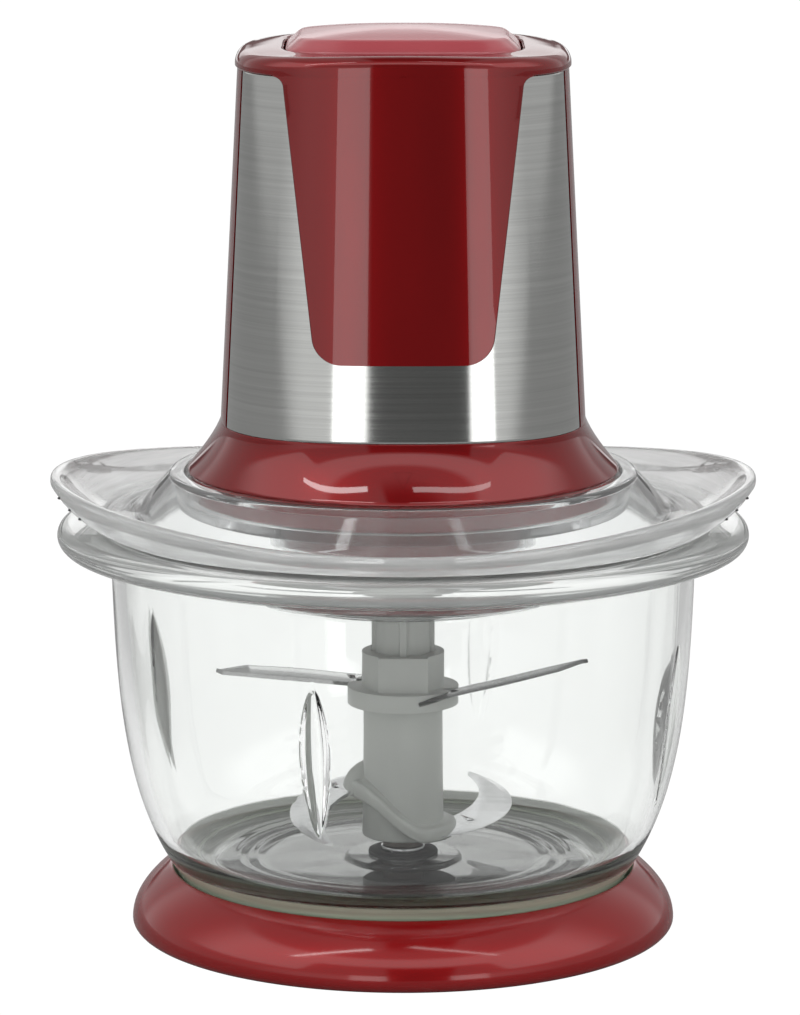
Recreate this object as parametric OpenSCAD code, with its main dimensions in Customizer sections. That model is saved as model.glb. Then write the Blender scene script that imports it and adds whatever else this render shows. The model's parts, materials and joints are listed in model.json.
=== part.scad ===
// Electric food chopper: glass bowl on a base ring, clear winged lid, motor unit with a push button on top.
// Millimetres, +Z up, front at -Y, origin at the middle of the underside.

/* [Base] */
// Widest diameter of the base ring
base_d = 137; // [130:0.5:145]
// Height of the base ring
base_h = 16.4; // [14:0.2:20]
// Height of the widest line of the base ring
base_wide_z = 2.8; // [2:0.1:4]
// Height of the floor that the bowl stands on
base_seat_z = 5; // [4:0.1:6]
// Thickness of the base floor
base_floor_t = 2.4; // [2:0.1:3]
// Wall of the base ring
base_wall = 2.4; // [2:0.1:3]
// Width of the rubber grip ring
grip_w = 6; // [4:0.5:8]
// How far the grip ring stands below the base
grip_stand = 0.6; // [0.4:0.1:1]

/* [Bowl] */
// Outer diameter that the bowl wall tends to at the mouth
bowl_d = 147.2; // [140:0.2:150]
// Height of the bowl from its foot to the top of the flange
bowl_h = 99.3; // [95:0.1:103]
// How far the wall draws in at foot level
bowl_draw = 25.9; // [22:0.1:28]
// Height over which the draw fades
bowl_curve = 23.5; // [20:0.5:26]
// Glass wall
bowl_wall = 3.6; // [3:0.1:4.2]
// Height of the inner floor above the foot
bowl_floor_h = 13; // [11:0.2:15]
// Thickness of the glass floor
bowl_floor_t = 6.5; // [5:0.1:8]
// Diameter of the foot
foot_d = 108; // [100:1:110]
// Width of the foot's standing face
foot_w = 6; // [4:0.5:8]
// Diameter of the flange
flange_d = 172.8; // [168:0.2:176]
// Thickness of the flange
flange_t = 6.2; // [5:0.2:7]
// Diameter of the raised boss round the pin
boss_d = 28; // [24:1:32]
// Height of the raised boss
boss_h = 0.8; // [0.6:0.1:1.2]
// Number of inner ribs
rib_count = 4; // [3:1:6]
// Length of a rib
rib_l = 39; // [30:1:42]
// Thickness of a rib through its middle
rib_t = 8.4; // [7:0.2:9]
// How far a rib's axis lies behind the wall's inner face
rib_sink = 1; // [0.8:0.1:1.6]
// Height of a rib's middle above the foot
rib_z = 51; // [46:1:54]
// Turn of the first rib from the front, to the right
rib_turn = -18; // [-30:1:30]

/* [Pin] */
// Diameter of the pin that the blades turn on
pin_d = 6; // [5:0.1:7]
// Diameter of the pin's flange
pin_flange_d = 11; // [10:0.5:13]
// Thickness of the pin's flange
pin_flange_t = 1.2; // [1:0.1:1.6]
// Diameter of the rubber washer
washer_d = 17.5; // [16:0.5:22]
// Thickness of the rubber washer
washer_t = 1; // [0.8:0.1:2]
// Diameter of the threaded stud through the glass
stud_d = 8; // [7:0.1:9]
// Width of the nut across its corners
nut_d = 14; // [12:0.5:16]
// Thickness of the nut
nut_t = 4; // [3:0.2:5]

/* [Blades] */
// Diameter of the hub at its foot
hub_d_low = 20.6; // [19:0.2:22]
// Diameter of the hub at its shoulder
hub_d_high = 19.8; // [18.5:0.1:21]
// Height of the hub's foot above the glass floor
hub_lift = 5.7; // [5:0.1:7]
// Height of the hub from its foot to its shoulder
hub_h = 33.8; // [31:0.2:36]
// Diameter of the splined spindle
spindle_d = 13.8; // [13:0.1:14.6]
// Width of a spline on the spindle
spline_w = 1.9; // [1.6:0.1:2.4]
// Height of a spline out of the spindle
spline_h = 1; // [0.8:0.1:1.2]
// Number of splines
spline_count = 4; // [3:1:6]
// Diameter of the collar's flange ring
ring_d = 28; // [26:0.5:30]
// Thickness of the collar's flange ring
ring_t = 4.4; // [3.6:0.2:5]
// Outer diameter of the collar above its flange ring
collar_d = 20.6; // [20:0.1:21.6]
// Height of the collar above its flange ring
collar_h = 8.8; // [7:0.2:10]
// Thickness of the blades
blade_t = 1; // [0.8:0.1:1.2]
// Width of an upper blade
upper_w = 9.6; // [8:0.2:10.4]
// Reach of an upper blade from the axis
upper_reach = 47.6; // [42:0.2:50]
// Upward tilt of an upper blade
upper_tilt = 9; // [4:0.5:11]
// Pitch of an upper blade about its length, cutting edge down
upper_pitch = 5; // [0:0.5:6]
// Radius of a lower blade's outer edge
sickle_out_r = 29.1; // [27:0.1:30]
// Radius of a lower blade's inner edge
sickle_in_r = 32.6; // [31:0.1:34]
// Reach of a lower blade away from the axis
sickle_reach = 38.5; // [34:0.5:39.5]
// Rise of the low blade towards its tip
low_tilt = 5.5; // [4:0.5:7]
// Fall of the raised blade towards its tip
raised_tilt = 8; // [4:0.5:9]
// Height of the raised blade over the low one
sickle_step = 10; // [8:0.2:11]
// Diameter of the moulded root of the lower blades
root_d = 27; // [26:0.5:29]
// Thickness of the moulded root
root_t = 4; // [3.8:0.1:4.4]

/* [Lid] */
// Span across the wing tips
wing_span = 176; // [172:0.5:180]
// Width across the lid's front and back
lid_d = 159; // [156:0.5:162]
// Wall of the lid
lid_t = 2.4; // [2:0.1:2.8]
// Height of the rim over the flange at the front and back
rim_front_h = 5.3; // [5:0.1:6]
// Height of the rim over the flange at the wing tips
rim_tip_h = 11.7; // [10:0.1:13]
// Height of the rim band's lower edge over the flange at the front and back
rim_low_h = 0.5; // [0.4:0.1:0.8]
// Rise of the rim band's lower edge towards the wing tips
rim_low_rise = 9.9; // [8:0.1:11]
// Least height of the rim's band
rim_band = 2.4; // [2.2:0.1:3]
// Height of the motor seat above the flange
seat_h = 5; // [4.8:0.1:6]
// Depth of the collar round the motor's foot
collar_depth = 7.5; // [6.5:0.1:7.8]
// Width of the collar's top edge
collar_edge = 3.4; // [3:0.1:4.5]
// Outward spread of the collar's outer cone
cone_spread = 9; // [7:0.2:10]
// Depth of the skirt inside the bowl's mouth
skirt_depth = 6.8; // [6:0.2:9]
// Height of the seal
seal_h = 3; // [2.4:0.2:3.6]
// Edge radius of the well's bottom
well_round = 9; // [6:0.5:11]

/* [Motor unit] */
// Diameter of the flared foot
flare_d = 107.6; // [104:0.2:110]
// Width of the body at the foot of the steel wrap
body_w_low = 90.6; // [86:0.2:94]
// Width of the body at the cap
body_w_high = 81.4; // [78:0.2:84]
// Squareness of the body's cross-section, 2 is round
body_square = 2.8; // [2.2:0.1:3]
// Height of the flare's edge above the motor seat
flare_h = 7.9; // [7.6:0.1:9]
// Height of the steel wrap's lower edge above the motor seat
steel_low_h = 21.2; // [20:0.1:24]
// Height of the steel wrap
steel_h = 87.4; // [80:0.2:94]
// Sheet thickness of the steel wrap
steel_t = 0.7; // [0.5:0.1:0.9]
// Angle that the steel wrap covers on each side of the front
steel_half_angle = 63.5; // [60:0.5:70]
// Wall of the moulded housing
house_wall = 2.4; // [2:0.1:3]
// Height of the cap
cap_h = 4; // [3.6:0.1:5]
// Edge radius of the cap
cap_round = 3.2; // [2:0.1:3.4]
// Top half width of the front tongue
tongue_top_w = 28.6; // [26:0.2:30]
// Half width of the front tongue above its corners
tongue_low_w = 21.2; // [18:0.2:24]
// Length of the front tongue below the cap
tongue_l = 68.5; // [55:0.5:75]
// Corner radius of the tongue
tongue_round = 6; // [4:0.5:8]
// Radius of the hollow corners at the tongue's top
tongue_neck = 2.6; // [2:0.1:3]
// How far the tongue and the cap stand out of the body
tongue_proud = 0.6; // [0.4:0.1:0.9]
// Number of vent slots in the back
vent_count = 6; // [4:1:7]
// Length of a vent slot
vent_l = 26; // [20:1:30]
// Height of a vent slot
vent_w = 2.4; // [2:0.2:3]
// Height of the cord gland above the motor seat
gland_h = 92; // [86:1:96]
// Bore of the cord gland
gland_bore = 6.8; // [6:0.1:7.4]

/* [Button] */
// Half width of the push button
button_w = 28.8; // [26:0.2:29.4]
// Half depth of the push button
button_d = 24; // [22:0.2:25]
// Squareness of the button's outline
button_square = 5; // [4:0.5:7]
// Height of the button's upright lip
lip_h = 1.4; // [1:0.1:2]
// Height of the button's bevel
bevel_h = 2; // [1.5:0.1:2.5]
// Width of the button's bevel
bevel_w = 2.6; // [2:0.1:3.5]
// Rise of the button's crown
crown_h = 2; // [1.2:0.1:2.4]
// Travel of the button
button_travel = 3.5; // [2.5:0.1:3.8]
// Wall of the button
button_wall = 2; // [1.6:0.1:2.4]

/* [Gearbox] */
// Tooth module
tooth_module = 1; // [0.95:0.01:1.02]
// Teeth of the sun pinion
sun_teeth = 12; // [12:6:12]
// Teeth of a planet gear
planet_teeth = 18; // [18:6:18]
// Face width of the planets
gear_w = 7.6; // [6:0.2:8]
// Tooth thinning for backlash
backlash = 0.14; // [0.1:0.01:0.2]
// Height of a tooth over its pitch circle, in modules
addendum = 0.84; // [0.75:0.01:0.88]
// Depth of a tooth under its pitch circle, in modules
dedendum = 1.15; // [1.05:0.01:1.25]
// Diameter of a planet pin
planet_pin_d = 4; // [3.4:0.1:5]
// Thickness of the planet carrier
carrier_t = 3; // [2.6:0.1:3.4]
// Diameter of the output journal
journal_d = 21; // [20:0.2:22]
// Height of the drive socket
socket_h = 6.6; // [5.6:0.2:7]
// Wall of the gear housing
gear_wall = 2.2; // [1.8:0.1:2.6]
// Rim of the ring gear outside its teeth
ring_rim = 3.2; // [2.8:0.1:3.6]
// Thickness of the gearbox plate
gear_plate_t = 3; // [2.6:0.1:3.4]

/* [Motor] */
// Diameter of the motor can
can_d = 52; // [48:0.5:54]
// Height of the motor can
can_h = 56; // [52:0.5:60]
// Sheet thickness of the motor can
can_t = 1; // [0.8:0.1:1.2]
// Diameter of the motor shaft
shaft_d = 5; // [4.5:0.1:5.5]
// Diameter of the armature core
core_d = 31; // [28:0.5:33]
// Height of the armature core
core_h = 30; // [26:0.5:34]
// Number of armature slots
core_slots = 12; // [8:1:14]
// Running gap between the armature and the magnets
air_gap = 0.6; // [0.4:0.1:1]
// Diameter of the fan
fan_d = 46; // [40:1:50]
// Height of the fan
fan_h = 8; // [6:0.5:9]
// Number of fan vanes
fan_vanes = 9; // [7:1:11]
// Diameter of a screw
screw_d = 3; // [2.6:0.1:3.4]

/* [Fits] */
// Radial clearance of a running fit
run_fit = 0.08; // [0.05:0.01:0.1]
// Gap between pieces that lift apart
lift_gap = 0.25; // [0.2:0.05:0.4]
// Side gap where one piece drops into another
drop_gap = 0.7; // [0.5:0.1:1]
// Gap between fixed mouldings
fixed_gap = 0.15; // [0.1:0.05:0.25]

/* [Hidden] */
$fn = 64;

// Levels from the table up
z_bowl = base_seat_z + lift_gap;
z_floor = z_bowl + bowl_floor_h;
z_flange = z_bowl + bowl_h;
z_lid = z_flange + lift_gap;
z_seat = z_lid + seat_h;
z_motor = z_seat + lift_gap;
z_flare = z_motor + flare_h;
z_steel = z_motor + steel_low_h;
z_cap = z_steel + steel_h;
z_top = z_cap + cap_h;

// Radii that fits share
seal_w = 1.2;
mouth_r = bowl_r(bowl_h - skirt_depth) - bowl_wall;
skirt_r = mouth_r - lift_gap - seal_w;
collar_in_r = flare_d / 2 + drop_gap;
collar_out_r = collar_in_r + collar_edge;
ring_teeth = sun_teeth + 2 * planet_teeth;
carrier_r = (sun_teeth + planet_teeth) * tooth_module / 2;
ring_out_r = ring_teeth * tooth_module / 2 + dedendum * tooth_module + ring_rim;
nose_in_r = ring_out_r + fixed_gap;
nose_r = nose_in_r + gear_wall;
well_in_r = nose_r + drop_gap;
well_r = well_in_r + lid_t;
spindle_tip_r = spindle_d / 2 + spline_h;
bush_wall = 2;
planet_angles = [90, 210, 330];

// Levels inside the nose, from the bottom up
journal_lift = 0.3;
socket_gap = 0.5;
gear_gap = 0.5;
pin_foot = 0.6;
nose_bottom_t = 2;
gear_stack = journal_lift + socket_h + socket_gap + pin_foot + carrier_t + gear_gap + gear_w + gear_gap;
z_gear_plate = z_motor - gear_plate_t;
z_nose = z_gear_plate - gear_stack - gear_gap;
z_journal = z_nose + journal_lift;
z_socket_top = z_journal + socket_h;
z_carrier = z_socket_top + socket_gap + pin_foot;
z_gear = z_carrier + carrier_t + gear_gap;
z_gear_top = z_gear + gear_w;
z_well = z_nose - lift_gap - drop_gap - lid_t;
z_spindle_top = z_socket_top - socket_gap;

// Levels of the blades
z_washer = z_floor + boss_h;
z_pin_flange = z_washer + washer_t;
z_hub = z_floor + hub_lift;
z_shoulder = z_hub + hub_h;
z_ring = z_shoulder + fixed_gap;
z_collar = z_ring + ring_t;
z_collar_top = z_collar + collar_h;
pin_rise = 8;
z_pin_top = z_shoulder + pin_rise;

// Levels of the motor
z_can = z_motor;
z_can_top = z_can + can_h;
end_cap_h = 8;
z_end_cap = z_can_top + end_cap_h;
fan_lift = 3;
z_fan = z_end_cap + fan_lift;
bracket_drop = 18;
z_bracket = z_cap - bracket_drop;
bracket_t = 3;
board_t = 1.6;
board_drop = 5;
z_board = z_bracket - board_drop - board_t;
z_switch = z_bracket + bracket_t;
switch_h = 8;
plunger_h = button_travel + lift_gap;

// Rounds, shells and screws

// Ring of rectangular section
module tube(r_out, r_in, h) {
    difference() {
        cylinder(r = r_out, h = h);
        translate([0, 0, -1]) cylinder(r = r_in, h = h + 2);
    }
}

// Two triangles between neighbouring points of two rings
function patch(a, b, i, n) = let (j = (i + 1) % n)
    [[a * n + i, b * n + i, a * n + j], [a * n + j, b * n + i, b * n + j]];

// Closed skin over stacked rings, capped at both ends
module skin(rings) {
    n = len(rings[0]);
    m = len(rings);
    polyhedron(
        points = [for (ring = rings) each ring],
        faces = concat(
            [[for (i = [0:n - 1]) i], [for (i = [n - 1:-1:0]) (m - 1) * n + i]],
            [for (k = [0:m - 2]) for (i = [0:n - 1]) each patch(k, k + 1, i, n)]));
}

// Closed skin over rings that come back to the first one
module loop_skin(rings) {
    n = len(rings[0]);
    m = len(rings);
    polyhedron(
        points = [for (ring = rings) each ring],
        faces = [for (k = [0:m - 1]) for (i = [0:n - 1]) each patch(k, (k + 1) % m, i, n)]);
}

// Radius of a rounded square outline at an angle
function square_r(a, n, t) = a / pow(pow(abs(cos(t)), n) + pow(abs(sin(t)), n), 1 / n);

// Radius of a rounded rectangle outline at an angle
function oblong_r(a, b, n, t) = 1 / pow(pow(abs(cos(t)) / a, n) + pow(abs(sin(t)) / b, n), 1 / n);

// Polar angle at which a rounded outline's normal points at an angle, and the way back;
// equal turns of the normal give the flat sides one facet and the corners many
function corner_turn(v, n, k = 1) = let (q = 180 * round(v / 180), d = v - q)
    q + sign(d) * atan(k * pow(tan(abs(d)), 1 / (n - 1)));
function normal_turn(t, n) = let (q = 180 * round(t / 180), d = t - q)
    q + sign(d) * atan(pow(tan(abs(d)), n - 1));

// Point at a polar place
function polar(r, t, z) = [r * cos(t), r * sin(t), z];

module screw(length, head_d, head_h) {
    cylinder(d = screw_d, h = length);
    translate([0, 0, -head_h]) difference() {
        cylinder(d = head_d, h = head_h);
        for (t = [0, 90]) rotate(t)
            translate([-head_d / 3, -0.35, -0.1]) cube([head_d / 1.5, 0.7, head_h / 2]);
    }
}

// Base

base_r = base_d / 2;
base_lip_r = bowl_r(base_h - z_bowl) + drop_gap;
base_lip_w = 0.6;
heel_w = 1;
base_well_r = foot_d / 2 + heel_w + drop_gap + lift_gap;
function base_bulge_r(z) =
    base_r - (base_r - base_lip_r - base_lip_w) * pow((z - base_wide_z) / (base_h - base_wide_z), 2);

module base_ring() {
    steps = 9;
    edge = 3;
    foot_land = 0.4;
    seat_step = 2;
    hollow_h = 7.4;
    color("firebrick") rotate_extrude() difference() {
        polygon(concat(
            [[0, base_seat_z], [0, base_seat_z - base_floor_t], [base_r - edge, grip_stand]],
            [for (t = [-67.5:22.5:-22.5])
                [base_r - edge + edge * cos(t), base_wide_z + (base_wide_z - grip_stand) * sin(t)]],
            [for (i = [0:steps]) let (z = mix(base_wide_z, base_h, i / steps)) [base_bulge_r(z), z]],
            [[base_lip_r, base_h], [base_well_r, base_seat_z + seat_step], [base_well_r, base_seat_z]]));
        // Hollow underside of the floor
        translate([0, -1]) square([base_well_r - base_wall, base_seat_z - base_floor_t + 1]);
        // Hollow under the bulge
        polygon([[base_well_r + base_wall, -1], [base_r - edge - foot_land, -1],
            for (u = [0:1 / 3:1]) let (z = base_wide_z + hollow_h * u) [base_bulge_r(z) - base_wall, z],
            [base_well_r + base_wall, base_wide_z + hollow_h]]);
    }
}

module grip_ring() {
    grip_r = base_well_r - base_wall - fixed_gap;
    color("dimgray") tube(grip_r, grip_r - grip_w, base_seat_z - base_floor_t);
}

// Bowl

// Outer radius of the wall at a height above the foot
function bowl_r(h) = bowl_d / 2 - bowl_draw * exp(-h / bowl_curve);

// Outer half of the wall, then the flange, then the inner half down to the boss
module bowl_profile() {
    foot_r = foot_d / 2;
    heel_h = 11;
    heel_edge = 1.2;
    mouth_edge = 1;
    recess_draft = 1.5;
    boss_draft = 0.6;
    fillet_h = 10;
    fillet_top = bowl_floor_h + fillet_h;
    fillet_r = bowl_r(fillet_top) - bowl_wall;
    fillet_in = bowl_draw / bowl_curve * exp(-fillet_top / bowl_curve) * fillet_h;
    nose = flange_t / 2;
    neck_round = 4;
    neck_h = bowl_h - flange_t - neck_round;
    stud_r = stud_d / 2 + fixed_gap;
    recess_h = bowl_floor_h - bowl_floor_t;
    heights = [for (i = [0:11]) heel_h + (neck_h - heel_h) * pow(i / 11, 1.5)];
    inner = [for (i = [0:9]) let (k = 1 - i / 9)
        fillet_top + (bowl_h - mouth_edge - fillet_top) * pow(k, 1.5)];
    polygon(concat(
        [[stud_r, recess_h], [foot_r - foot_w - recess_draft, recess_h], [foot_r - foot_w, 0], [foot_r, 0],
            [foot_r + 0.7 * heel_w, heel_edge / 3], [foot_r + heel_w, heel_edge]],
        [for (h = heights) [bowl_r(h), h]],
        [for (t = [30:30:90]) [bowl_r(neck_h) + neck_round * (1 - cos(t)), neck_h + neck_round * sin(t)]],
        [for (t = [-90:15:90]) [flange_d / 2 - nose + nose * cos(t), bowl_h - nose + nose * sin(t)]],
        [[mouth_r + mouth_edge, bowl_h]],
        [for (h = inner) [min(mouth_r, bowl_r(h) - bowl_wall), h]],
        [for (u = [1 / 6:1 / 6:1])
            [fillet_r - 2 * fillet_in * u * (1 - u) - (fillet_in + fillet_h) * u * u,
                bowl_floor_h + fillet_h * (1 - u) * (1 - u)]],
        [[boss_d / 2 + boss_draft, bowl_floor_h], [boss_d / 2, bowl_floor_h + boss_h],
            [stud_r, bowl_floor_h + boss_h]]));
}

// Lens-shaped rib along the inside of the wall, round at its top and pointed at its foot
module bowl_rib() {
    lean = atan((bowl_r(rib_z + rib_l / 2) - bowl_r(rib_z - rib_l / 2)) / rib_l);
    steps = 10;
    translate([0, bowl_wall - rib_sink - bowl_r(rib_z), rib_z]) rotate([lean, 0, 0]) rotate_extrude()
        polygon([for (i = [0:steps]) let (u = i / steps)
            [rib_t / 2 * pow(sin(180 * pow(u, 1.25)), 0.8), (u - 0.5) * rib_l]]);
}

// Space inside the middle of the wall, which keeps the ribs off its outer face
module rib_space() {
    low = rib_z - rib_l / 2;
    steps = 5;
    rotate_extrude() polygon(concat([[0, low + rib_l], [0, low]],
        [for (i = [0:steps]) let (h = low + rib_l * i / steps) [bowl_r(h) - bowl_wall / 2, h]]));
}

module glass_bowl() {
    color("lightcyan", 0.4) translate([0, 0, z_bowl]) {
        rotate_extrude() bowl_profile();
        intersection() {
            for (i = [0:rib_count - 1]) rotate(rib_turn + 360 * i / rib_count) bowl_rib();
            rib_space();
        }
    }
}

module bowl_pin() {
    stud_end = 0.5;
    tip = 1;
    stud_l = z_pin_flange - z_bowl - bowl_floor_h + bowl_floor_t + nut_t + stud_end;
    color("silver") {
        translate([0, 0, z_pin_flange - stud_l]) cylinder(d = stud_d, h = stud_l);
        translate([0, 0, z_pin_flange]) cylinder(d = pin_flange_d, h = pin_flange_t);
        translate([0, 0, z_pin_flange]) cylinder(d = pin_d, h = z_pin_top - z_pin_flange - tip);
        translate([0, 0, z_pin_top - tip]) cylinder(d1 = pin_d, d2 = pin_d - 2 * tip, h = tip);
    }
}

module pin_washer() {
    color("black") translate([0, 0, z_washer]) tube(washer_d / 2, stud_d / 2 + fixed_gap, washer_t);
}

module pin_nut() {
    color("silver") translate([0, 0, z_floor - bowl_floor_t - nut_t]) difference() {
        cylinder(d = nut_d, h = nut_t, $fn = 6);
        translate([0, 0, -1]) cylinder(d = stud_d + 2 * run_fit, h = nut_t + 2);
    }
}

// Blades

hub_bore_r = pin_d / 2 + run_fit + bush_wall;
sickle_out_c = [-1.1, 17.5];
sickle_in_c = [-12.7, 25.1];
sickle_hole = [17, 2, -1];
upper_root = [2.5, -11];
upper_turn = 16.7;
upper_hole = [11, 0, -blade_t];
upper_tip_w = 2;
z_sickle = z_hub + 1.8;

// Plan of a lower blade: a crescent between two circles, cut off at its tip
module sickle_plan(grow = 0) {
    intersection() {
        difference() {
            translate(sickle_out_c) circle(r = sickle_out_r + grow, $fn = 96);
            translate(sickle_in_c) circle(r = sickle_in_r - grow, $fn = 96);
        }
        translate([2, -sickle_reach]) square([2 * sickle_reach, 2 * sickle_reach]);
    }
}

// Lower blade on the right, pointing back, at a height and with a tilt
module sickle(z, tilt) {
    difference() {
        translate([0, 0, z]) rotate([tilt, 0, 0]) difference() {
            linear_extrude(blade_t) sickle_plan();
            translate(sickle_hole) cylinder(r = 1, h = blade_t + 2);
        }
        cylinder(r = hub_bore_r + 1.2, h = z_shoulder);
    }
}

module low_sickle() {
    sickle(z_sickle, low_tilt);
}

module raised_sickle() {
    rotate(180) sickle(z_sickle + sickle_step, -raised_tilt);
}

// Moulded root round the hub: level at both lower blades and a ramp between them
module root_ramp() {
    half = root_t / 2;
    slope = 40;
    run = sickle_step / tan(slope) / 2;
    lag = half * tan(slope / 2);
    middle = -2.8;
    translate([0, 0, z_sickle + blade_t / 2]) intersection() {
        translate([0, root_d, 0]) rotate([90, 0, 0]) linear_extrude(2 * root_d) polygon([
            [-root_d, sickle_step - half], [middle - run - lag, sickle_step - half],
            [middle + run - lag, -half], [root_d, -half],
            [root_d, half], [middle + run + lag, half],
            [middle - run + lag, sickle_step + half], [-root_d, sickle_step + half]]);
        translate([0, 0, -root_t]) cylinder(d = root_d, h = sickle_step + 2 * root_t);
    }
}

// Gusset between the hub and the raised blade
module root_gusset() {
    h = 8;
    spread = 2;
    z0 = z_sickle + sickle_step + (blade_t - root_t) / 2;
    intersection() {
        translate([0, 0, z0]) cylinder(r1 = root_d / 2 + spread, r2 = hub_d_high / 2 - 1, h = h);
        translate([0, 0, z0 - 1]) linear_extrude(h + 2) rotate(180) sickle_plan(0.8);
    }
}

module spline_bars(r, w, z0, z1) {
    for (i = [0:spline_count - 1]) rotate(360 * i / spline_count - 90)
        translate([0, -w / 2, z0]) cube([r, w, z1 - z0]);
}

module blade_hub() {
    color("gainsboro") difference() {
        union() {
            translate([0, 0, z_hub]) cylinder(d1 = hub_d_low, d2 = hub_d_high, h = hub_h);
            translate([0, 0, z_shoulder]) cylinder(d = spindle_d, h = z_spindle_top - z_shoulder - 1);
            translate([0, 0, z_spindle_top - 1]) cylinder(d1 = spindle_d, d2 = spindle_d - 2, h = 1);
            spline_bars(spindle_tip_r, spline_w, z_shoulder - 1, z_spindle_top - 1);
            root_ramp();
            root_gusset();
        }
        translate([0, 0, z_hub - 9]) cylinder(r = hub_bore_r, h = z_pin_top + 0.3 - z_hub + 9);
        low_sickle();
        raised_sickle();
    }
}

module hub_bushes() {
    bush_h = 10;
    color("peru") for (z = [z_pin_flange + pin_flange_t + lift_gap, z_pin_top - bush_h])
        translate([0, 0, z]) tube(hub_bore_r, pin_d / 2 + run_fit, bush_h);
}

// Upper blade on the right; the other is its half turn
module upper_blade() {
    length = (upper_reach - upper_root[0]) / (cos(upper_turn) * cos(upper_tilt));
    half = upper_w / 2;
    difference() {
        translate([upper_root[0], upper_root[1], z_ring + ring_t / 2])
            rotate(upper_turn) rotate([upper_pitch, -upper_tilt, 0]) difference() {
                translate([0, 0, -blade_t / 2]) linear_extrude(blade_t)
                    polygon([[-1.5, half - 1], [length - 1, half], [length, half - upper_tip_w],
                        [length * 0.8, -half * 0.7], [length * 0.55, -half], [5, -half], [-1.5, -half + 3]]);
                translate(upper_hole) cylinder(r = 0.9, h = 2 * blade_t);
            }
        translate([0, 0, z_ring - ring_t]) cylinder(r = spindle_tip_r + 1, h = 3 * ring_t);
    }
}

module upper_blade_right() {
    color("silver") upper_blade();
}

module upper_blade_left() {
    color("silver") rotate(180) upper_blade();
}

module lower_blade_back() {
    color("silver") low_sickle();
}

module lower_blade_front() {
    color("silver") raised_sickle();
}

// Collar with a flat pad at the front and the back
module upper_blade_collar() {
    bore_r = spindle_d / 2 + fixed_gap;
    pad_w = 12.4;
    pad_d = collar_d + 0.2;
    color("gainsboro") difference() {
        union() {
            translate([0, 0, z_ring]) cylinder(d = ring_d, h = ring_t);
            translate([0, 0, z_collar]) cylinder(d = collar_d, h = collar_h);
            translate([-pad_w / 2, -pad_d / 2, z_collar - 1]) cube([pad_w, pad_d, collar_h + 1]);
        }
        translate([0, 0, z_ring - 1]) cylinder(r = bore_r, h = ring_t + collar_h + 2);
        spline_bars(spindle_tip_r + fixed_gap, spline_w + 2 * fixed_gap, z_ring - 1, z_collar_top + 1);
        for (t = [0, 180]) rotate(t) upper_blade();
    }
}

// Lid

z_collar_edge = z_seat + collar_depth;
brim_r = bowl_d / 2 + 0.6;
lid_points = 72;
function wing_out(t) = lid_d / 2 + (wing_span - lid_d) / 2 * pow(abs(cos(t)), 4.2);
function wing_up(t) = z_lid + rim_front_h + (rim_tip_h - rim_front_h) * pow(abs(cos(t)), 2.4);
function wing_low(t) = min(wing_up(t) - rim_band, z_lid + rim_low_h + rim_low_rise * pow(abs(cos(t)), 8.5));
function mix(a, b, u) = a + (b - a) * u;

// Centre of the lid: well, motor seat, hollow collar, dish and skirt
module lid_centre() {
    hole_r = spindle_tip_r + 0.6;
    cone_r = collar_out_r + cone_spread;
    leg_r = collar_in_r + lid_t;
    z_dish = z_lid + lid_t;
    round_out = well_round + lid_t;
    rotate_extrude() polygon(concat(
        [[hole_r, z_well + lid_t]],
        [for (t = [0:22.5:90])
            [well_in_r - well_round + well_round * sin(t), z_well + lid_t + well_round * (1 - cos(t))]],
        [[well_in_r, z_seat], [collar_in_r, z_seat], [collar_in_r, z_collar_edge],
            [collar_out_r - 0.7, z_collar_edge], [collar_out_r, z_collar_edge - 0.7],
            [cone_r, z_dish], [brim_r, z_dish], [brim_r, z_lid], [skirt_r, z_lid],
            [skirt_r, z_lid - skirt_depth], [skirt_r - lid_t, z_lid - skirt_depth], [skirt_r - lid_t, z_lid],
            [cone_r - 1.25 * lid_t, z_lid + lid_t / 2], [leg_r + 0.3, z_collar_edge - lid_t],
            [leg_r, z_collar_edge - lid_t], [leg_r, z_seat - lid_t], [well_r, z_seat - lid_t]],
        [for (t = [90:-22.5:0])
            [well_r - round_out + round_out * sin(t), z_well + round_out * (1 - cos(t))]],
        [[hole_r, z_well]]));
}

// Section of the saddle brim at an angle, from the dish out over the rim and back below
function brim_section(t) =
    let (r = wing_out(t), z = wing_up(t), low = wing_low(t),
        r0 = brim_r + 0.4, z0 = z_lid + 0.3, z1 = z_lid + lid_t - 0.3)
    concat(
        [[brim_r - 2, z1]],
        [for (u = [0:1 / 3:1]) [mix(r0, r - 3, u), mix(z1, z - 0.8, pow(u, 1.5))]],
        [[r - 1.4, z], [r - 0.35, z - 0.4], [r, z - 1.3], [r, low + 0.7], [r - 0.7, low],
            [r - 2.4, min(low + 0.5, z - lid_t - 0.6)]],
        [for (u = [2 / 3, 1 / 3]) [mix(r0, r - 3, u), mix(z0, z - lid_t - 0.8, pow(u, 1.5))]],
        [[brim_r - 2, z0]]);

module lid() {
    sections = [for (i = [0:lid_points - 1]) let (t = 360 * i / lid_points) brim_section(t)];
    rings = [for (k = [0:len(sections[0]) - 1]) [for (i = [0:lid_points - 1])
        polar(sections[i][k][0], 360 * i / lid_points, sections[i][k][1])]];
    color("aliceblue", 0.5) {
        lid_centre();
        loop_skin([for (k = [len(rings) - 1:-1:0]) rings[k]]);
    }
}

module lid_seal() {
    color("whitesmoke") translate([0, 0, z_lid - skirt_depth + 1.5])
        tube(mouth_r - lift_gap, skirt_r, seal_h);
}

// Motor housing

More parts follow.
